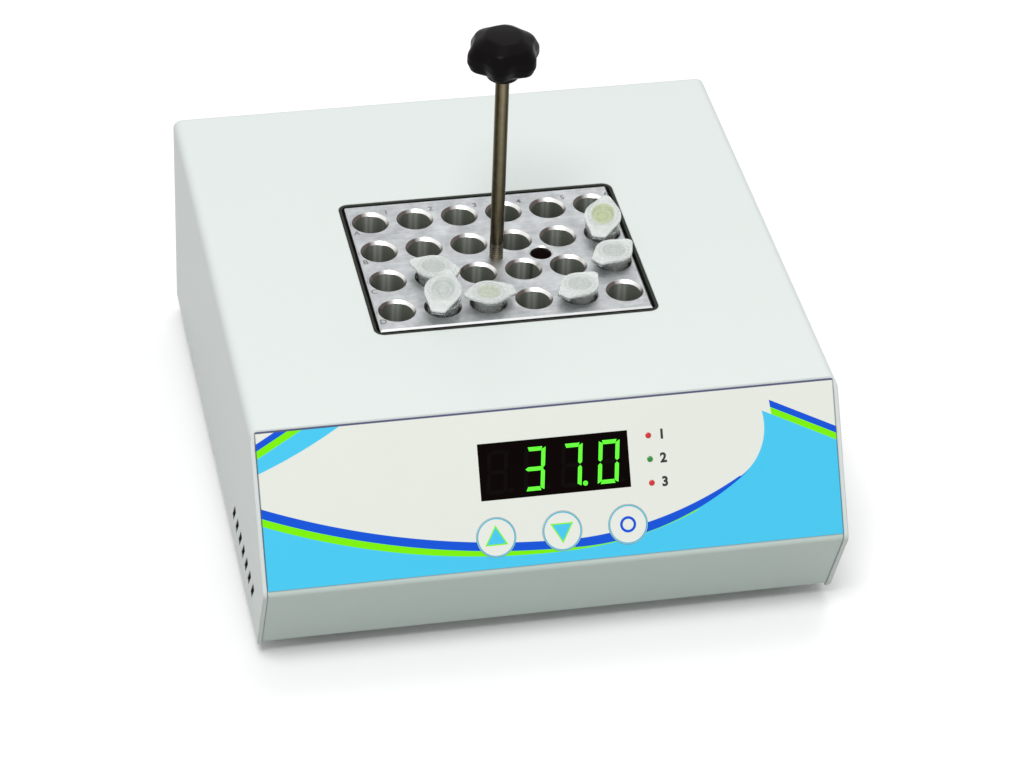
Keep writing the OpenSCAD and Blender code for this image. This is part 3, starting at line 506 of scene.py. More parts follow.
def rounded_path(corners: Sequence[Triple], steps: int) -> np.ndarray:
    """A profile with its corners rounded.

    Args:
        corners: rows of radius, height and corner radius.
        steps: points on each arc.

    Returns:
        The points. Each arc runs between the two tangent points, at radius * tan(turn / 2) from the corner,
        as (1 - t)^2 * start + 2 t (1 - t) * corner + t^2 * end, a parabola close to the arc.
    """
    path = np.array([corner[:2] for corner in corners], float)
    t = np.linspace(0.0, 1.0, steps)[:, None]
    out: list[np.ndarray] = []
    for i, (*_, radius) in enumerate(corners):
        here = path[i]
        if radius <= 0.0:
            out.append(here[None])
            continue
        back, on = (step / np.linalg.norm(step) for step in (path[i - 1] - here, path[i + 1] - here))
        turn = math.pi - math.acos(float(np.clip(back @ on, -1.0, 1.0)))
        reach = radius * math.tan(turn / 2.0)
        start, end = here + back * reach, here + on * reach
        out.append((1 - t) ** 2 * start + 2 * t * (1 - t) * here + t**2 * end)
    return np.concatenate(out)


def prism(outline: np.ndarray, low: float, high: float) -> Shape:
    """A flat shape given thickness: the outline at two levels, and the sides between.

    Args:
        outline: an array of n by 2.
        low: the lower level.
        high: the upper level.

    Returns:
        The points and the faces.
    """
    ring = np.arange(len(outline))
    points = np.concatenate([np.c_[outline, np.full(len(ring), level)] for level in (low, high)])
    return points, [ring[::-1], ring + len(ring), *grid_faces(2, len(ring))]


def join(parts: Iterable[Shape]) -> Shape:
    """Puts several shapes into one.

    Args:
        parts: the shapes.

    Returns:
        All the points, and all the faces with their corner numbers moved on.
    """
    points, faces = zip(*parts)
    starts = np.cumsum([0, *map(len, points)])
    return np.concatenate(points), [np.asarray(f) + k for some, k in zip(faces, starts) for f in some]


@dataclass(frozen=True)
class Stand:
    """A place and a turn: an origin and three axes that carry a piece's own coordinates into the model."""

    origin: Sequence[float]
    across: Sequence[float] = X_AXIS
    up: Sequence[float] = Y_AXIS
    out: Sequence[float] = Z_AXIS

    def put(self, points: np.ndarray) -> np.ndarray:
        """origin + x * across + y * up + z * out, for points in metres."""
        return points @ np.array([self.across, self.up, self.out]) + np.array(self.origin)

    def read(self, points: np.ndarray) -> np.ndarray:
        """The reverse of put: the piece's own coordinates of points of the model."""
        return (points - np.array(self.origin)) @ np.array([self.across, self.up, self.out]).T


CAPITAL = 0.7  # the height of a capital, as a share of the font's size
LETTER_HALF = 0.01  # half of a letter's thickness, in millimetres


def letters(text: str, height: float, bold: float) -> Shape:
    """The outline of a word as a thin plate, centred, in metres.

    Args:
        text: what it says.
        height: the height of its capitals, in millimetres.
        bold: how far the strokes are thickened, in millimetres.

    Returns:
        The points and the faces.
    """
    curve = bpy.data.curves.new("letters", "FONT")
    curve.body = text
    curve.align_x = "CENTER"
    curve.align_y = "CENTER"
    curve.size = height * MM / CAPITAL
    curve.offset = bold * MM
    curve.extrude = LETTER_HALF * MM
    curve.resolution_u = 3
    holder = bpy.data.objects.new("letters", curve)
    bpy.context.scene.collection.objects.link(holder)
    bpy.context.view_layer.update()
    mesh = bpy.data.meshes.new_from_object(holder)
    points, faces = mesh_points(mesh), [list(polygon.vertices) for polygon in mesh.polygons]
    bpy.data.objects.remove(holder)
    bpy.data.curves.remove(curve)
    bpy.data.meshes.remove(mesh)
    return points, faces


class Assembly:
    """What every sub-assembly can do: dress its nodes and add pieces to a body."""

    plain: ClassVar[dict[Paint, Sequence[str]]] = {}

    def dress(self, material: bpy.types.Material, *nodes: str) -> None:
        """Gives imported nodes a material.

        Args:
            material: their finish.
            nodes: their names.
        """
        for name in nodes:
            node = frame["nodes"][name]
            node.data.materials.clear()
            node.data.materials.append(material)
            LOG.info("dressed %s in %s", name, material.name)

    def build(self) -> None:
        """Gives the nodes that have a plain finish their own."""
        for paint, nodes in self.plain.items():
            self.dress(paint.material, *nodes)

    def add(
        self,
        name: str,
        shape: Shape,
        body: str,
        slot: str,
        material: bpy.types.Material,
        replaces: Sequence[str] = (),
        smooth: float = 35.0,
    ) -> None:
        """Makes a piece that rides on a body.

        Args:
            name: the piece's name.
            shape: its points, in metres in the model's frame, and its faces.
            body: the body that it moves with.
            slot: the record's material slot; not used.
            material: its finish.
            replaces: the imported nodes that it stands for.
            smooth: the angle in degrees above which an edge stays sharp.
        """
        made = to_object(name, shape, smooth)
        made.data.materials.append(material)
        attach(made, body)
        if replaces:
            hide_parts(*replaces)
        LOG.info("built %s on %s: %d faces", name, body, len(made.data.polygons))


def middle(node: str) -> Vector:
    """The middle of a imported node's box, in metres."""
    low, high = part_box(node)
    return (low + high) / 2.0


def joint_of(name: str) -> dict:
    """The record's entry for a joint."""
    return next(entry for entry in frame["joints"] if entry["name"] == name)


# ---- Housing ----


@dataclass
class Housing(Assembly):
    """The painted cover and chassis, the feet and the screws under the floor. Sizes in millimetres."""

    floor_level: float = 7.5
    slots_top: float = 30.0
    slots_middle: float = -64.5
    slots_half: float = 26.0
    skin: float = 0.12
    paint: Colour = (0.75, 0.805, 0.78)
    # near black: painted shade where the slots look into the housing
    primer: Colour = (0.018, 0.019, 0.018)
    plain = {
        Paint.CHASSIS: ("base_chassis",),
        Paint.RUBBER: ("feet",),
        Paint.ZINC: ("foot_screws", "cover_screws"),
    }

    def cover_paint(self) -> bpy.types.Material:
        """Pale powder coat outside with a fine orange-peel texture, and painted shade, near black, behind
        the slots.

        Returns:
            The material. The painted shade covers the slots' cut walls and the sheet's inner side round
            them.
        """
        made = Finish("cover_paint", Gloss(roughness=0.46))
        x, y, z = (made.along(axis) for axis in (X_AXIS, Y_AXIS, Z_AXIS))
        within = abs(x).below(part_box("cover")[1].x / MM - self.skin, 0.05)
        beside = abs(y - self.slots_middle).below(self.slots_half, 0.1)
        cloud, fine = made.noise(30.0, 3.0), made.noise(0.9)
        pale = made.mix(toned(self.paint, 0.99), self.paint, cloud)
        # painted shade: the slots' walls and the sheet's inside round them are made near black
        behind = within * beside * z.band(self.floor_level, self.slots_top, 0.1)
        return made.surface(made.mix(pale, self.primer, behind), 0.43 + fine * 0.06, fine, 0.012, 0.7)

    def build(self) -> None:
        """Dresses the sheet metal, the feet and the screws."""
        self.dress(self.cover_paint(), "cover")
        super().build()


# ---- Control panel ----


@dataclass(frozen=True)
class Arc:
    """Part of a stripe's edge: a circle in panel millimetres, x to the right and s down the slope."""

    x: float
    s: float
    radius: float

    def outside(self, x: Field, s: Field) -> Field:
        """Distance outside the circle."""
        return (x - self.x).reach(s - self.s) - self.radius


@dataclass(frozen=True)
class Line:
    """A straight edge through a point of the panel, in the same coordinates."""

    x: float
    s: float
    slope: float

    def outside(self, x: Field, s: Field) -> Field:
        """Distance down the panel from the line: s - line.s - (x - line.x) * slope."""
        return s - self.s - (x - self.x) * self.slope


@dataclass(frozen=True)
class Edge:
    """A curved edge made of arcs that meet at given places across the panel."""

    arcs: tuple[Arc, ...]
    joints: tuple[float, ...]

    def outside(self, x: Field, s: Field) -> Field:
        """Distance below the edge.

        Args:
            x: the place across the panel.
            s: the place down the slope.

        Returns:
            The distance from the arc that rules at x: each arc gives way to the next one at their joint.
        """
        distances = [arc.outside(x, s) for arc in self.arcs]
        total = distances[0]
        for joint, last, following in zip(self.joints, distances, distances[1:]):
            total = total + (following - last) * x.above(joint, 0.01)
        return total


class KeySign(Enum):
    """What is printed on a key."""

    UP = "up"
    DOWN = "down"
    SET = "set"


# the lit strokes of each character, named as in ControlPanel.segment
STROKES: dict[str, str] = {" ": "", "3": "abcdg", "7": "abc", "0": "abcdef"}


@dataclass
class ControlPanel(Assembly):
    """The sloped panel: printed film, window with lit digits, keys and indicators. Sizes in millimetres."""

    film_thickness: float = 0.5
    stripe: float = 2.35
    left_stripes: float = 5.0
    left_end: float = -60.0
    green_end: float = 48.5
    blue_end: float = 66.0
    # widths of the painted shade along the film's top and along its sides
    cut_top: float = 0.62
    cut_side: float = 0.25
    ring_radius: float = 6.35
    ring_width: float = 0.5
    mark_radius: float = 2.3
    mark_width: float = 0.9
    triangle_half: float = 3.9
    triangle_height: float = 6.8
    triangle_foot: float = 0.39
    outline: float = 0.45
    showing: str = " 370"
    point_place: int = 2
    digit_left: float = -21.4
    digit_top: float = 13.75
    digit_pitch: float = 12.65
    digit_width: float = 7.1
    digit_height: float = 14.6
    stroke: float = 1.35
    slant: float = 0.105
    segment_gap: float = 0.22
    point_radius: float = 0.85
    point_inset: float = 0.1
    point_steps: int = 20
    lit_rise: float = 0.02
    dark_rise: float = 0.012
    lens_radius: float = 0.93
    lens_rise: float = 0.25
    lens_back: float = 0.1
    lens_steps: int = 24
    flat: float = 0.01
    number_height: float = 3.1
    number_bold: float = 0.2
    number_shift: float = 4.6
    field_blue: Colour = linear(80, 213, 255)
    deep_blue: Colour = linear(22, 90, 228)
    ring_blue: Colour = linear(96, 196, 224)
    green: Colour = linear(134, 255, 4)
    film_white: Colour = linear(246, 249, 240)
    # colour of the painted shade along the film's edges
    cut_edge: Colour = linear(92, 96, 128)
    lit: Colour = linear(84, 245, 30)
    red_lamp: Colour = linear(205, 14, 24)
    green_lamp: Colour = linear(12, 135, 28)
    white_edge: Edge = Edge(
        (Arc(6.8, -240.2, 285.9), Arc(3.2, -79.1, 124.9), Arc(53.8, 13.5, 19.7)), (5.0, 64.0)
    )
    blue_edge: Edge = Edge((Arc(5.8, -237.3, 285.8), Arc(7.9, -48.9, 97.5)), (6.0,))
    green_edge: Edge = Edge((Arc(-2.9, -210.5, 260.1), Arc(1.7, -74.9, 124.4)), (3.0,))
    corner_arc: Arc = Arc(-158.0, -147.9, 172.7)
    right_line: Line = Line(73.1, 8.9, 0.487)
    left_line: Line = Line(-90.9, 0.25, -0.541)
    steep_line: Line = Line(6.0, 75.8, 0.1)
    film_gloss: Gloss = Gloss(roughness=0.4, specular=0.12)
    stand: Stand = field(init=False)
    plain = {
        Paint.DARK: ("display_module",),
        Paint.CIRCUIT: ("display_board",),
        Paint.BRASS: ("display_spacers",),
        Paint.ZINC: ("display_screws",),
        Paint.BLACK: ("key_switches",),
    }

    def __post_init__(self) -> None:
        """Works out the panel's axes from the keys' travel, and its origin on the line of the film's top."""
        out = -Vector(joint_of("key_up_press")["axis"])
        down = Vector((0.0, -out.z, out.y))
        low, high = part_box("front_overlay")
        slope = (high.z - low.z - self.film_thickness * MM * out.z) / -down.z
        top = Vector((0.0, low.y - down.y * slope, high.z))
        seam = top + down * ((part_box("cover")[1].z - high.z) / down.z)
        self.stand = Stand(seam, X_AXIS, -down, out)

    def across(self, made: Finish) -> tuple[Field, Field]:
        """The panel's own coordinates on a material, in millimetres: x to the right and s down the slope."""
        down = tuple(-c for c in self.stand.up)
        return made.along(self.stand.across), made.along(down, self.stand.origin)

    def printed(self, made: Finish, colour: Ink) -> bpy.types.Material:
        """Gives a print the fine grain of the film."""
        grain = made.noise(0.25)
        return made.surface(colour, 0.34 + grain * 0.06, grain, 0.004, 0.15)

    def film(self) -> bpy.types.Material:
        """The printed film: white, with a blue and a green band along a long curve over a pale blue field.

        Returns:
            The material. A band lies where a point is below one edge and above the next. Along the film's
            top edge lies a band of painted shade, for the seam's gap shadow, and its sides have fainter
            painted shade.
        """
        made = Finish("panel_print", self.film_gloss)
        x, s = self.across(made)
        white, blue, green, right, left, corner = (
            edge.outside(x, s)
            for edge in (self.white_edge, self.blue_edge, self.green_edge,
                         self.right_line, self.left_line, self.corner_arc)
        )
        # the right stripes start at a steep line, which is read with x and s swapped
        beyond = self.steep_line.outside(s, x).above()
        near_left = x.below(self.left_end)
        layers = [
            (self.field_blue, white.above() * right.above()),
            (self.green, blue.above() * green.below() * x.below(self.green_end, 2.0)),
            (self.deep_blue, white.above() * blue.below() * x.below(self.blue_end, 3.0)),
            (self.deep_blue, right.band(-2.0 * self.stripe, -self.stripe) * beyond),
            (self.green, right.band(-self.stripe, 0.0) * beyond),
            (self.field_blue, left.above(self.left_stripes) * corner.below() * near_left),
            (self.green, left.band(self.stripe, self.left_stripes) * near_left),
            (self.deep_blue, left.band(0.0, self.stripe) * near_left),
        ]
        colour = made.mix(self.film_white, toned(self.film_white, 0.965), made.noise(40.0))
        for ink, mask in layers:
            colour = made.mix(colour, ink, mask)
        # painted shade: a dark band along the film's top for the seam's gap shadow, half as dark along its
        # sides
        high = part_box("front_overlay")[1]
        top = (self.stand.origin[2] - high.z) / MM / self.stand.up[2]
        sides = abs(x).above(high.x / MM - self.cut_side, 0.05)
        rim = s.below(top + self.cut_top, 0.08).most(sides * 0.5)
        return self.printed(made, made.mix(colour, self.cut_edge, rim))

    def key_print(self, name: str, centre: float, level: float, sign: KeySign) -> bpy.types.Material:
        """A round key: white with a thin pale blue ring and a sign in the middle.

        Args:
            name: the material's name.
            centre: the key's middle across the panel.
            level: the key's middle down the slope.
            sign: what is printed on it.

        Returns:
            The material. A triangle is where the largest distance outside its three sides is below 0.
        """
        made = Finish(name, self.film_gloss)
        x, s = self.across(made)
        x, s = x - centre, s - level
        reach = x.reach(s)
        ring = abs(reach - self.ring_radius).below(self.ring_width / 2.0)
        colour = made.mix(self.film_white, self.ring_blue, ring)
        if sign is KeySign.SET:
            mark = abs(reach - self.mark_radius).below(self.mark_width / 2.0)
            return self.printed(made, made.mix(colour, self.deep_blue, mark))
        half, tall = self.triangle_half, self.triangle_height
        lift = (s if sign is KeySign.UP else -s) - tall * self.triangle_foot
        flank = (abs(x) * tall - (lift + tall) * half) / math.hypot(half, tall)
        deep = lift.most(flank)
        colour = made.mix(colour, self.green, deep.below())
        return self.printed(made, made.mix(colour, self.field_blue, deep.below(-self.outline)))

    def window(self) -> bpy.types.Material:
        """The dark window: near black, glossy, a little uneven.

        Returns:
            The material.
        """
        made = Finish("window_tint", Gloss(roughness=0.16, specular=0.02))
        cloud = made.noise(9.0)
        colour = made.mix((0.0026, 0.0008, 0.0008), (0.0044, 0.0018, 0.0018), cloud)
        return made.surface(colour, 0.13 + cloud * 0.06, cloud, 0.01, 0.15)

    def lamp(self, name: str, colour: Colour, strength: float) -> bpy.types.Material:
        """A lit plastic lens or segment.

        Args:
            name: the material's name.
            colour: its colour, by day and of its light.
            strength: how strongly it glows.

        Returns:
            The material.
        """
        made = Finish(name, Gloss(roughness=0.25, coat=0.2))
        cloud = made.noise(1.5, 1.0)
        shade = made.mix(toned(colour, 0.8), colour, cloud)
        made.feed("Emission Color", shade)
        made.feed("Emission Strength", strength)
        return made.surface(shade, 0.22 + cloud * 0.06)

    def segment(self, name: str) -> np.ndarray:
        """The outline of one stroke of a digit, in millimetres from the digit's top left corner.

        Args:
            name: a to g, clockwise from the top, with g in the middle.

        Returns:
            The points of a bar, leaned by the slant: x -> x - slant * s. The top, the upper right and the
            middle bars are drawn, and the others are mirrored from them.
        """
        w, h, t, g = self.digit_width, self.digit_height, self.stroke, self.segment_gap
        middle_s, half = h / 2.0, t / 2.0
        if name == "g":
            tip = g + 0.2 * t
            points = [(tip, middle_s), (t, middle_s - half), (w - t, middle_s - half), (w - tip, middle_s),
                      (w - t, middle_s + half), (t, middle_s + half)]
        elif name in "ad":
            tip = g + 0.6 * t
            points = [(tip, 0.0), (w - tip, 0.0), (w - g - t, t), (g + t, t)]
        else:
            end = middle_s - g
            points = [(w, g), (w - t, g + 0.55 * t), (w - t, end - half), (w - half, end), (w, end - half)]
        x, s = np.array(points).T
        x = w - x if name in "ef" else x
        s = h - s if name in "cde" else s
        return np.c_[x - self.slant * s, s]

    def readout(self, lit: bool) -> Shape:
        """The readout's strokes and points that are lit, or those that are dark, as plates on the window.

        Args:
            lit: which set to make.

        Returns:
            The points and the faces.
        """
        turn = around(self.point_steps)
        dot = self.point_radius * np.c_[np.cos(turn), np.sin(turn)]
        dot += (self.digit_width - self.point_inset, self.digit_height - self.point_radius)
        flats: list[np.ndarray] = []
        for place, character in enumerate(self.showing):
            corner = np.array([self.digit_left + place * self.digit_pitch, self.digit_top])
            names = (name for name in "abcdefg" if (name in STROKES[character]) is lit)
            flats += [self.segment(name) + corner for name in names]
            if (place == self.point_place) is lit:
                flats.append(dot + corner)
        rise = (self.lit_rise if lit else self.dark_rise) * MM
        points, faces = join(prism(flat * (MM, -MM), 0.0, rise) for flat in flats)
        return self.stand.put(points), faces

    def lens(self, x: float, s: float) -> Shape:
        """A lens: a cap with a flat back, where r = radius * sin(a) and z = rise * cos(a).

        Args:
            x: its middle across the panel.
            s: its middle down the slope.

        Returns:
            The points and the faces.
        """
        lean = np.linspace(0.0, np.pi / 2.0, 7)
        cap = np.c_[self.lens_radius * np.sin(lean), self.lens_rise * np.cos(lean)]
        back = [(self.lens_radius, -self.lens_back), (0.0, -self.lens_back)]
        points, faces = revolve(np.concatenate([cap, back]) * MM, self.lens_steps)
        return self.stand.put(points + np.array([x, -s, 0.0]) * MM), faces

    def front_place(self, node: str) -> tuple[float, float]:
        """Where a key or an indicator stands on the panel, from its outermost ring of points.

        Args:
            node: its node.

        Returns:
            Its middle as x and s, in millimetres.
        """
        local = self.stand.read(mesh_points(frame["nodes"][node].data))
        front = local[local[:, 2] > local[:, 2].max() - self.flat * MM]
        x, y, _ = (front.min(0) + front.max(0)) / 2.0 / MM
        return float(x), float(-y)

    def build(self) -> None:
        """Builds the readout, the lenses and their numbers, and dresses the panel's nodes."""
        self.dress(self.film(), "front_overlay")
        self.dress(self.window(), "display_window")
        super().build()
        for node, sign in (("key_up", KeySign.UP), ("key_down", KeySign.DOWN), ("key_set", KeySign.SET)):
            self.dress(self.key_print(f"{node}_print", *self.front_place(node), sign), node)
        unlit = Finish("segment_dark", Gloss(roughness=0.3, specular=0.03))
        dark = unlit.mix((0.0036, 0.0020, 0.0020), (0.0056, 0.0036, 0.0036), unlit.noise(2.0))
        unlit.feed("Base Color", dark)
        glowing = self.lamp("segment_green", self.lit, strength=0.55)
        self.add("readout_dark_segments", self.readout(False), "housing", "display_black", unlit.material)
        self.add("readout_lit_segments", self.readout(True), "housing", "lamp_green", glowing)
        lamps = {
            "lamp_red": self.lamp("lamp_red", self.red_lamp, strength=0.25),
            "lamp_green": self.lamp("lamp_green", self.green_lamp, strength=0.2),
        }
        numbers = []
        for node, slot in (("timer_led", "lamp_red"), ("run_led", "lamp_green"), ("heat_led", "lamp_red")):
            x, s = self.front_place(node)
            self.dress(lamps[slot], node)
            self.add(f"{node}_lens", self.lens(x, s), "housing", slot, lamps[slot])
            points, faces = letters(str(len(numbers) + 1), self.number_height, self.number_bold)
            beside = np.array([x + self.number_shift, -s, 0.0]) * MM
            numbers.append((self.stand.put(points + beside), faces))
        self.add("indicator_numbers", join(numbers), "housing", "display_black", Paint.CAPTION.material)


# ---- Block, rod and knob ----


@dataclass
class HeatingBlock(Assembly):
    """The drilled block with its engraved rows and columns. Sizes in millimetres."""

    mark_height: float = 2.4
    mark_lift: float = 0.012
    mark_bold: float = 0.03
    pitch_x: float = 16.0
    pitch_y: float = 18.1
    bevel: float = 1.0
    rim_radius: float = 7.2
    side_skin: float = 0.4
    probe_x: float = 16.0
    probe_radius: float = 6.5
    # where the painted reflections lie across a well, and the depth over which its painted shade deepens
    streak_middle: float = 0.4
    streak_reach: float = 0.9
    dark_below: float = 9.0
    columns: int = 6
    rows: str = "ABCD"
    number_offset: tuple[float, float] = (6.6, 5.6)
    letter_offset: tuple[float, float] = (-5.8, -5.9)
    # direction of the lit side, for the painted highlight on the wells' mouths
    bright_side: tuple[float, float] = (0.62, 0.78)

    def well(self, made: Finish, u: Field, depth: Field, drawn: Field) -> bpy.types.NodeSocket:
        """The colour inside a well: painted shade that deepens with depth, and painted reflections that run
        down its wall as lighter streaks.

        Args:
            made: the finish.
            u: the distance across from the well's middle.
            depth: the distance below the block's top.
            drawn: noise that is drawn out along the well.

        Returns:
            The colour. Two narrow painted reflections lie on a wide one: | |u - middle| - reach | below a
            half width.
        """
        # painted shade: darker with depth below the block's top
        depth_shade = depth.below(self.dark_below, 16.0) * 0.6 + 0.4
        # painted reflections: two narrow light streaks on a wide one, down the well's wall
        narrow = abs(abs(u - self.streak_middle) - self.streak_reach).below(0.5, 1.2)
        streak = narrow * 0.65 + abs(u).below(2.0 * self.streak_reach, 3.0) * 0.35
        dull = made.mix((0.050, 0.057, 0.046), (0.20, 0.222, 0.183), depth_shade)
        return made.mix(dull, (0.62, 0.65, 0.60), streak * depth_shade * 0.85 + (drawn - 0.5) * 0.35)

    def metal(self) -> bpy.types.Material:
        """Machined aluminium: a mottled brushed face, milled sides, and wells that are dull inside, with
        painted shade and painted reflections.

        Returns:
            The material. The place (u, v) in a well is wrap(x - pitch / 2) and wrap(y - pitch / 2). The
            bevel of its mouth has a painted highlight where (u, v) points along the lit side, and painted
            shade opposite.
        """
        made = Finish("block_aluminium", Gloss(metallic=1.0, roughness=0.36))
        low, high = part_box("heating_block")
        width, length, tall = (high - low) / MM
        x, y = made.plan(middle("heating_block"))
        depth = -made.along(Z_AXIS, (0.0, 0.0, high.z))
        u, v = x.wrap(self.pitch_x), y.wrap(self.pitch_y)
        reach = u.reach(v)
        beyond = (abs(x) - width / 2.0).most(abs(y) - length / 2.0).most(depth - tall)
        side = beyond.above(-self.side_skin, 0.2)
        inside = depth.above(self.bevel + 0.1, 0.1)
        bevel = depth.above(0.05, 0.02)
        probe = (x - self.probe_x).reach(y).below(self.probe_radius, 0.2)
        cloud, spots = made.noise(7.0, 5.0), made.noise(2.0, 3.0)
        lines = made.noise(0.35, 3.0, (60.0, 1.0, 1.0))
        scratches = made.noise(0.8, 2.0, (9.0, 1.0, 1.0))
        drawn = made.noise(0.9, 2.0, (1.0, 1.0, 40.0))
        mottle = cloud * 0.45 + spots * 0.2 + lines * 0.2 + scratches * 0.15
        face = made.mix((0.27, 0.285, 0.295), (0.66, 0.68, 0.69), mottle * 2.2 - 0.6)
        milled = made.mix((0.40, 0.415, 0.42), (0.60, 0.62, 0.62), cloud * 0.5 + drawn * 0.5)
        # the probe's bore is made near black: painted shade of the deep hole
        bore = made.mix(self.well(made, u, depth, drawn), (0.02, 0.012, 0.010), probe)
        # painted highlight on the side of each mouth's bevel that faces the lit side, painted shade on the
        # other
        toward_lit_side = (u * self.bright_side[0] + v * self.bright_side[1]) / reach
        mouth = made.mix((0.12, 0.10, 0.092), (0.84, 0.83, 0.81), toward_lit_side.above(0.66, 0.42))
        rim = made.mix(mouth, (0.60, 0.61, 0.61), reach.above(self.rim_radius, 0.2))
        colour = made.mix(made.mix(face, rim, bevel), made.mix(bore, milled, side), inside)
        made.feed("Metallic", 1.0 - inside * 0.85 * (1.0 - side))
        return made.surface(colour, 0.34 + cloud * 0.12 + lines * 0.08 - bevel * 0.12, lines, 0.006)

    def build(self) -> None:
        """Dresses the block and engraves 1 to 6 behind the back row and A to D beside the first column."""
        self.dress(self.metal(), "heating_block")
        places_x = (np.arange(self.columns) - (self.columns - 1) / 2.0) * self.pitch_x
        places_y = ((len(self.rows) - 1) / 2.0 - np.arange(len(self.rows))) * self.pitch_y
        shift, rise = self.number_offset
        marks = [(str(count), x + shift, places_y[0] + rise) for count, x in enumerate(places_x, 1)]
        shift, rise = self.letter_offset
        marks += [(text, places_x[0] + shift, y + rise) for text, y in zip(self.rows, places_y)]
        centre, top = middle("heating_block"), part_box("heating_block")[1].z
        parts = []
        for text, x, y in marks:
            points, faces = letters(text, self.mark_height, self.mark_bold)
            parts.append((points + (centre.x, centre.y, top) + np.array([x, y, self.mark_lift]) * MM, faces))
        finish = Paint.ENGRAVED.material
        self.add("row_and_column_marks", join(parts), "block", "block_aluminium", finish)


@dataclass
class LiftingRod(Assembly):
    """The screwed rod and its lobed knob. Sizes in millimetres, angles in degrees."""

    thread_pitch: float = 0.8
    thread_depth: float = 0.24
    thread_shown: float = 6.4
    thread_fade: float = 0.6
    thread_proud: float = 0.03
    thread_rings: int = 10
    thread_steps: int = 40
    lobes: int = 6
    lobe_radius: float = 13.1
    front_lobe: float = 252.0
    hub_radius: float = 5.0
    skirt_height: float = 8.0
    crown_depth: float = 3.0
    knob_steps: int = 144
    hollow: float = 2.3
    crown_share: float = 0.4
    bands: int = 4
    # angle of the lit band of the painted reflection round the rod
    light_band: float = 267.0

    def steel(self, name: str, threaded: bool = False) -> bpy.types.Material:
        """Drawn stainless bar with a warm brown tint, painted reflection bands round it and streaks along
        its length.

        Args:
            name: the material's name.
            threaded: whether it is cut with a thread.

        Returns:
            The material. With a the angle round the axis, the painted reflection bands are light where
            cos(bands * (a - band)) is high, and the grooves get painted shade where cos(2 pi z / pitch - a)
            is low.
        """
        made = Finish(name, Gloss(metallic=1.0, roughness=0.28))
        streak = made.noise(1.3, 3.0, (1.0, 1.0, 80.0))
        spots = made.noise(2.5, 3.0)
        x, y = made.plan(middle("lift_rod"))
        angle = y.maths("ARCTAN2", y, x)
        # painted reflection: light and dark bands round the rod
        band = (angle * self.bands - self.bands * math.radians(self.light_band)).cosine()
        level = band * 0.32 + 0.36 + (streak - 0.5) * 1.1 + (spots - 0.5) * 0.3
        tint = made.mix((0.037, 0.027, 0.011), (0.265, 0.225, 0.145), level)
        if threaded:
            turn = made.along(Z_AXIS) * (2.0 * math.pi / self.thread_pitch) - angle
            tint = made.mix(tint, (0.70, 0.66, 0.56), 0.4)
            # painted shade in the thread's grooves
            tint = made.mix(tint, (0.006, 0.005, 0.004), turn.cosine().below(0.1, 0.5))
        return made.surface(tint, 0.24 + streak * 0.14, streak, 0.004)

    def thread(self, top: float, bottom: float, radius: float) -> Shape:
        """A ridge that winds round the rod: R = radius + depth * (wave(z / pitch - a / 2pi) - 1).

        Args:
            top: the upper end's height, in metres.
            bottom: the lower end's height, in metres.
            radius: the ridge's outer radius, in metres.

        Returns:
            The points and the quads of a tube with a waved wall, whose end rings lie on the inner wall.
        """
        pitch, depth = self.thread_pitch * MM, self.thread_depth * MM
        rise = np.linspace(bottom, top, int((top - bottom) / pitch * self.thread_rings))
        height, turn = np.meshgrid([bottom, *rise, top], around(self.thread_steps), indexing="ij")
        wave = 0.5 + 0.5 * np.cos(2.0 * np.pi * height / pitch - turn)
        fade = np.clip((top - height) / (self.thread_fade * MM), 0.0, 1.0)
        reach = radius + depth * (wave - 1.0) * fade
        reach[[0, -1]] = radius - 2.0 * depth
        axis, faces = middle("lift_rod"), grid_faces(*reach.shape, close_rows=True)
        return polar(reach, turn, height) + (axis.x, axis.y, 0.0), faces

    def lobed(self, radius: np.ndarray, turn: np.ndarray, height: np.ndarray) -> np.ndarray:
        """The knob's radius, drawn in between its lobes.

        R = r - w(r) * f(z) * hollow * (1 - cos(lobes * (a - front_lobe))) / 2, where w grows from 0 at the
        hub to 1 at the rim, and f falls from 1 at the skirt to crown_share at the crown.

        Args:
            radius: the turned profile's radius r, in metres.
            turn: the angle a.
            height: the height z over the underside, in metres.

        Returns:
            The radius R, in metres.
        """
        hub, rim, tall = self.hub_radius * MM, (self.lobe_radius - 1.2) * MM, height.max() / MM
        share = np.clip((radius - hub) / (rim - hub), 0.0, 1.0)
        share = share * share * (3.0 - 2.0 * share)
        rise = (height / MM - self.skirt_height) / (tall - self.skirt_height - self.crown_depth)
        fade = 1.0 - (1.0 - self.crown_share) * np.clip(rise, 0.0, 1.0)
        dip = (1.0 - np.cos(self.lobes * (turn - math.radians(self.front_lobe)))) / 2.0
        return radius - share * fade * self.hollow * MM * dip

    def knob(self) -> Shape:
        """The knob: a turned profile with rounded corners, drawn in between the lobes.

        Returns:
            The points and the quads.
        """
        low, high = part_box("lift_knob")
        tall, rim = (high.z - low.z) / MM, self.lobe_radius
        profile = rounded_path([
            (0.0, 0.0, 0.0), (5.4, 0.0, 0.8), (6.0, 1.8, 1.4), (rim - 1.4, 4.6, 2.2), (rim, 7.8, 2.0),
            (rim - 0.2, 10.4, 2.4), (rim - 2.2, tall - self.crown_depth, 3.2), (6.4, tall - 0.5, 3.6),
            (0.0, tall, 0.0),
        ], 8)
        points, faces = revolve(profile * MM, self.knob_steps, self.lobed)
        axis = middle("lift_rod")
        return points + (axis.x, axis.y, low.z), faces

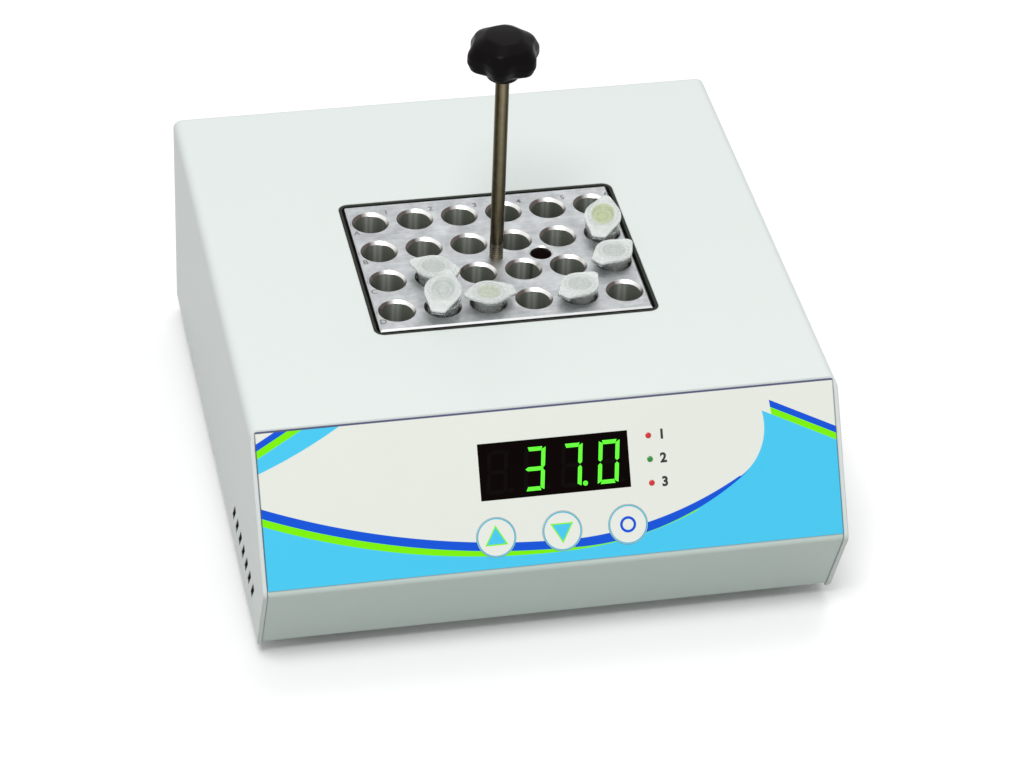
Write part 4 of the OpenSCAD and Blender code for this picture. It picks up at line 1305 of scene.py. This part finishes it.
    def satin(self) -> bpy.types.Material:
        """Black moulded plastic with a fine satin grain.

        Returns:
            The material.
        """
        made = Finish("knob_plastic", Gloss(roughness=0.34, specular=0.06))
        fine = made.noise(0.3)
        colour = made.mix((0.0026, 0.0017, 0.0020), (0.0046, 0.0032, 0.0036), made.noise(6.0))
        return made.surface(colour, 0.30 + fine * 0.1, fine, 0.004)

    def build(self) -> None:
        """Dresses the rod, and builds the thread and the knob."""
        self.dress(self.steel("rod_steel"), "lift_rod")
        low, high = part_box("lift_rod")
        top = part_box("heating_block")[1].z + self.thread_shown * MM
        thread = self.thread(top, low.z, (high.x - low.x) / 2.0 + self.thread_proud * MM)
        self.add("rod_thread", thread, "rod", "rod_steel", self.steel("rod_thread_steel", True), smooth=60.0)
        self.add("knob_moulding", self.knob(), "knob", "knob_plastic", self.satin(), ["lift_knob"], 50.0)


# ---- Sample tubes ----


@dataclass
class SampleTube(Assembly):
    """One tube with its folding lid. Sizes in millimetres."""

    key: str
    tint: Colour = (0.66, 0.71, 0.68)
    lid_milk: Colour = (0.80, 0.84, 0.82)
    wall_milk: Colour = (0.86, 0.91, 0.89)
    lid_clear: float = 0.25
    wall_clear: float = 0.8
    dish_radius: float = 4.1
    bead_radius: float = 4.5
    brim_radius: float = 5.7
    wall_steps: int = 48
    lid_steps: int = 72
    body_radius: float = 5.3
    wall: float = 0.9
    collar_radius: float = 6.1
    tip_radius: float = 2.3
    tip_drop: float = 19.0
    lid_radius: float = 6.5
    lid_thickness: float = 1.2
    lid_gap: float = 0.1
    plug_radius: float = 4.15
    fold_reach: float = 9.2
    tab_reach: float = 9.0
    tab_radius: float = 1.9
    strap_half: float = 2.3

    def plastic(self, part: str, centre: Vector, milk: Colour, clear: float) -> bpy.types.Material:
        """Natural polypropylene: milky and half clear, softly glossy, with the contents' tint in its dish.

        Args:
            part: the part of the tube, for the material's name.
            centre: a point on the tube's axis.
            milk: the plastic's colour outside the dish.
            clear: the share of light that goes through.

        Returns:
            The material. The dish is where the distance from the axis is below its radius. The bead and the
            brim carry a painted highlight, lighter than the rest.
        """
        gloss = Gloss(roughness=0.3, transmission=clear, subsurface=0.3 * (1.0 - clear), ior=1.35)
        made = Finish(f"{part}_{self.key}_plastic", gloss)
        cloud, fine = made.noise(4.0, 1.0), made.noise(2.6, 1.0)
        x, y = made.plan(centre)
        reach = x.reach(y)
        dish = reach.below(self.dish_radius, 1.6)
        # painted highlight: the bead and the brim are made lighter
        rim_highlight = abs(reach - self.bead_radius).below(0.3, 0.9).most(reach.above(self.brim_radius, 0.9))
        shade = made.mix(toned(milk, 0.9), milk, cloud)
        shade = made.mix(shade, self.tint, dish * (0.7 + cloud * 0.3))
        colour = made.mix(shade, toned(milk, 1.14), rim_highlight * 0.6)
        return made.surface(colour, 0.22 + fine * 0.1, fine, 0.006)

    def body_shape(self, tall: float) -> Shape:
        """The tube: a turned wall, straight above and tapering to a round tip, with a collar at its rim.

        Args:
            tall: the height from the tip to the rim, in millimetres.

        Returns:
            The points and the quads, with the tip at the origin.
        """
        shoulder, lip = tall - self.tip_drop, tall - 0.8
        r, tip, collar, w = self.body_radius, self.tip_radius, self.collar_radius, self.wall
        outer = rounded_path([
            (0.0, 0.0, 0.0), (tip, 0.0, 1.3), (r, shoulder, 3.0), (r, tall - 1.0, 0.2),
            (collar, tall - 1.0, 0.25), (collar, tall, 0.25), (r - w, tall, 0.2), (r - w, lip, 0.0),
        ], 6)
        inner = rounded_path([
            (r - w, lip, 0.0), (r - w, shoulder, 3.0), (tip - w + 0.4, w, 0.8), (0.0, w, 0.0),
        ], 6)
        return revolve(np.concatenate([outer, inner[1:]]) * MM, self.wall_steps)

    def strap_shape(self) -> Shape:
        """The fixed half of the strap, from the tube's wall to the fold, with the rim at height 0.

        Returns:
            The points and the faces.
        """
        root, end = self.body_radius - 0.2, self.fold_reach - 0.1
        side = np.array([(root, -0.1), (end, -0.1), (end, -0.75), (root, -0.9)]) * MM
        points, faces = prism(side, -self.strap_half * MM, self.strap_half * MM)
        return points[:, [0, 2, 1]], faces

    def lid_outline(self, turn: np.ndarray, radius: float) -> np.ndarray:
        """The lid's reach at an angle from the fold's direction.

        A circle, drawn out to a thumb tab on one side and to the strap on the other: along a straight flank
        the reach is radius / cos(a - b), where b is the angle of the flank's own normal.

        Args:
            turn: angles in radians.
            radius: the circle's radius, in millimetres.

        Returns:
            The reach, in millimetres.
        """
        a = np.abs((turn + np.pi) % (2.0 * np.pi) - np.pi)
        corner = math.atan2(self.strap_half, self.fold_reach)
        normal = corner + math.acos(radius / math.hypot(self.fold_reach, self.strap_half))
        reach = np.where(a < normal, radius / np.cos(a - normal), radius)
        reach = np.where(a < corner, self.fold_reach / np.cos(a), reach)
        b = np.pi - a
        tab = self.tab_reach - self.tab_radius
        lean = math.acos((radius - self.tab_radius) / tab)
        touch = math.atan2(self.tab_radius * math.sin(lean), tab + self.tab_radius * math.cos(lean))
        reach = np.where(b < lean, radius / np.cos(b - lean), reach)
        tip = tab * np.cos(b) + np.sqrt(np.clip(self.tab_radius**2 - (tab * np.sin(b)) ** 2, 0.0, None))
        return np.where(b < touch, tip, reach)

    def lid_shape(self) -> Shape:
        """The closed lid about the tube's axis, with its underside at height 0 and its fold towards +X.

        Returns:
            The points, in metres, and the quads. Each row is a ring: (radius, height, how far it follows the
            outline instead of the circle). The top gets thinner beyond the rim, towards the strap.
        """
        t, p, rim = self.lid_thickness, self.plug_radius, self.lid_radius
        rows = np.array([
            (0.0, t - 0.62, 0.0), (1.0, t - 0.62, 0.0), (1.5, t - 0.58, 0.0), (1.8, t - 0.42, 0.0),
            (2.1, t - 0.58, 0.0), (3.1, t - 0.62, 0.0), (3.6, t - 0.5, 0.0), (4.0, t - 0.12, 0.0),
            (4.3, t, 0.0), (4.7, t, 0.0), (5.0, t - 0.14, 0.0), (5.3, t - 0.3, 0.1),
            (rim - 0.7, t - 0.3, 0.7), (rim - 0.45, t - 0.1, 0.9), (rim - 0.2, t - 0.1, 1.0),
            (rim, t - 0.3, 1.0), (rim, 0.15, 1.0), (rim - 0.15, 0.0, 1.0), (rim - 0.8, 0.0, 0.4),
            (p + 0.1, 0.0, 0.0), (p, -0.2, 0.0), (p, -1.3, 0.0), (p - 0.25, -1.8, 0.0),
            (p - 0.75, -1.8, 0.0), (p - 0.85, -0.4, 0.0), (p - 1.3, 0.0, 0.0), (0.0, 0.0, 0.0),
        ])
        radius, height, follow = (column[:, None] for column in rows.T)
        turn = around(self.lid_steps)
        radius = radius + follow * (self.lid_outline(turn, rim) - rim)
        thin = np.clip((radius * np.cos(turn) - rim * 0.98) / 1.2, 0.0, 1.0) * 0.35
        height = height - np.where(height > 0.5, thin, 0.0)
        return polar(radius, turn, height) * MM, grid_faces(len(rows), len(turn))

    def build(self) -> None:
        """Builds the tube with its strap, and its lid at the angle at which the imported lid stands."""
        fold = joint_of(f"lid_{self.key}_fold")
        hinge, side, up = Vector(fold["pos_m"]), Vector(fold["axis"]), Vector(Z_AXIS)
        outward = Vector((side.y, -side.x, 0.0))
        centre = hinge - outward * (self.fold_reach * MM)
        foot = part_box(f"tube_{self.key}")[0].z
        points, faces = self.body_shape((hinge.z - foot) / MM)
        strap_points, strap_faces = self.strap_shape()
        tube = join([
            (points + (centre.x, centre.y, foot), faces),
            (Stand(centre, outward, side, up).put(strap_points), strap_faces),
        ])
        finish = self.plastic("tube", centre, self.wall_milk, self.wall_clear)
        name = f"tube_{self.key}"
        self.add(f"{name}_wall", tube, f"{name}_body", "tube_plastic", finish, [name])
        ajar = math.radians(max(0.0, -fold["range_deg"][0]))
        leaf = outward * math.cos(ajar) - up * math.sin(ajar)
        lid_stand = Stand(hinge, leaf, side, outward * math.sin(ajar) + up * math.cos(ajar))
        points, faces = self.lid_shape()
        lid = lid_stand.put(points + np.array([-self.fold_reach, 0.0, self.lid_gap]) * MM), faces
        finish = self.plastic("lid", centre, self.lid_milk, self.lid_clear)
        name = f"lid_{self.key}"
        self.add(f"{name}_cap", lid, f"{name}_body", "lid_plastic", finish, [name], 40.0)


# ---- Well, electrics and rear panel ----


class Interior(Assembly):
    """What stands inside the housing: the heated well and the electrics."""

    plain = {
        Paint.LINER: ("well_liner",),
        Paint.PLATE: ("heater_plate",),
        Paint.SILICONE: ("heater_mat",),
        Paint.WOOL: ("base_insulation", "wall_insulation"),
        Paint.ZINC: ("clamp_plate", "plate_studs", "well_screws", "temperature_probe"),
        Paint.BRASS: ("well_posts", "board_spacers", "earth_stud", "inlet_pins"),
        Paint.BROWN: ("thermal_cutout",),
        Paint.CIRCUIT: ("control_board",),
        Paint.BLACK_METAL: ("triac_heatsink",),
        Paint.VARNISH: ("transformer",),
        Paint.MAINS_WIRE: ("mains_wires",),
        Paint.HEATER_WIRE: ("heater_leads",),
        Paint.RIBBON: ("display_ribbon",),
    }


@dataclass
class RearPanel(Assembly):
    """The mains inlet with its fuse drawer and the rocker switch. Sizes in millimetres."""

    mark_height: float = 3.0
    mark_bold: float = 0.08
    mark_shift: float = 5.4
    mark_lift: float = 0.03
    plain = {
        Paint.BLACK: ("power_inlet", "fuse_drawer", "switch_housing"),
        Paint.ROCKER: ("power_rocker",),
        Paint.FUSE: ("fuse",),
    }

    def marks(self) -> Shape:
        """A stroke and a ring on the two halves of the rocker's face, on the face's own slope.

        Returns:
            The points and the faces, placed where a ray along -Y meets the rocker.
        """
        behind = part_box("power_rocker")[1].y + 10.0 * MM
        centre, left = middle("power_rocker"), Vector((-1.0, 0.0, 0.0))
        parts = []
        for text, shift in (("I", self.mark_shift), ("O", -self.mark_shift)):
            start = Vector((centre.x, behind, centre.z + shift * MM))
            _, place, normal, _ = frame["nodes"]["power_rocker"].ray_cast(start, Vector((0.0, -1.0, 0.0)))
            stand = Stand(place + normal * self.mark_lift * MM, left, normal.cross(left), normal)
            points, faces = letters(text, self.mark_height, self.mark_bold)
            parts.append((stand.put(points), faces))
        return join(parts)

    def build(self) -> None:
        """Dresses the rear fittings and marks the rocker."""
        super().build()
        self.add("rocker_marks", self.marks(), "rocker", "black_plastic", Paint.WHITE_MARK.material)


# ---- Stage ----


@dataclass
class Studio:
    """The floor, the lamps and the camera. Lengths in metres, angles in degrees."""

    eye: Triple = (-0.2455, -1.1146, 0.8713)
    azimuth: float = -12.73
    elevation: float = 36.30
    roll: float = 2.28
    focal: float = 3970.3
    picture_width: int = 1024
    sensor: float = 36.0
    far: float = 20.0
    floor_half: float = 4.0
    floor_show: float = 1.12
    sky: float = 0.45
    target: Triple = (0.0, 0.0, 0.05)
    key_place: Triple = (-0.45, -0.9, 2.0)
    top_place: Triple = (0.4, 0.6, 1.9)

    def place(self, name: str, data: bpy.types.ID) -> bpy.types.Object:
        """Puts a thing of the stage into the scene.

        Args:
            name: its name.
            data: its mesh, lamp or camera.

        Returns:
            The new object.
        """
        made = bpy.data.objects.new(name, data)
        bpy.context.scene.collection.objects.link(made)
        LOG.info("placed %s", name)
        return made

    def floor(self) -> None:
        """A plain pale floor that shows white and keeps the object's shadow."""
        made = Finish("floor", Gloss(roughness=0.9))
        pale = made.mix((0.45,) * 3, (0.47,) * 3, made.noise(400.0, 1.0))
        made.feed("Base Color", made.mix(pale, (self.floor_show,) * 3, made.seen()))
        span = self.floor_half
        corners = [(-span, -span, 0.0), (span, -span, 0.0), (span, span, 0.0), (-span, span, 0.0)]
        mesh = bpy.data.meshes.new("floor")
        mesh.from_pydata(corners, [], [(0, 1, 2, 3)])
        mesh.materials.append(made.material)
        floor = self.place("floor", mesh)

    def world(self) -> None:
        """Even pale light from all round, which shows white behind the object."""
        world = bpy.data.worlds.new("studio")
        bpy.context.scene.world = world
        air = Shading(world)
        strength = self.sky + air.seen() * (1.0 - self.sky)
        light = air.node("ShaderNodeBackground", inputs={"Color": (1.0, 1.0, 1.0), "Strength": strength})
        air.node("ShaderNodeOutputWorld", inputs={"Surface": light.outputs[0]})

    def lamp(self, name: str, place: Triple, power: float, size: float) -> None:
        """A square soft lamp that faces the target.

        Args:
            name: its name.
            place: where it hangs.
            power: its power in watts.
            size: the length of its side.
        """
        light = bpy.data.lights.new(name, "AREA")
        light.energy = power
        light.size = size
        lamp = self.place(name, light)
        lamp.location = place
        lamp.rotation_euler = (Vector(self.target) - Vector(place)).to_track_quat("-Z", "Y").to_euler()

    def camera(self) -> None:
        """A long lens that looks down from the left front, rolled a little."""
        data = bpy.data.cameras.new("camera")
        data.sensor_width = self.sensor
        data.sensor_fit = "HORIZONTAL"
        data.lens = self.focal * self.sensor / self.picture_width
        data.clip_end = self.far
        turns = ((self.azimuth, "Z"), (90.0 - self.elevation, "X"), (self.roll, "Z"))
        turn, tilt, roll = (Matrix.Rotation(math.radians(angle), 4, axis) for angle, axis in turns)
        camera = self.place("camera", data)
        camera.matrix_world = Matrix.Translation(self.eye) @ turn @ tilt @ roll
        bpy.context.scene.camera = camera

    def build(self) -> None:
        """Sets the stage."""
        bpy.context.scene.view_settings.view_transform = "Standard"
        self.camera()
        self.floor()
        self.world()
        self.lamp("key_lamp", self.key_place, power=23.0, size=0.8)
        self.lamp("top_lamp", self.top_place, power=8.0, size=1.2)


def main() -> None:
    """Builds the stage and every sub-assembly in order."""
    logging.basicConfig(level=logging.INFO, format="%(name)s: %(message)s")
    Studio().build()
    Housing().build()
    ControlPanel().build()
    HeatingBlock().build()
    LiftingRod().build()
    tints = {"b6": (0.58, 0.66, 0.38), "d3": (0.70, 0.75, 0.60)}
    for key in ("b6", "c2", "c6", "d2", "d3", "d5"):
        SampleTube(key, tints.get(key, SampleTube.tint)).build()
    Interior().build()
    RearPanel().build()


if __name__ == "__main__":
    main()
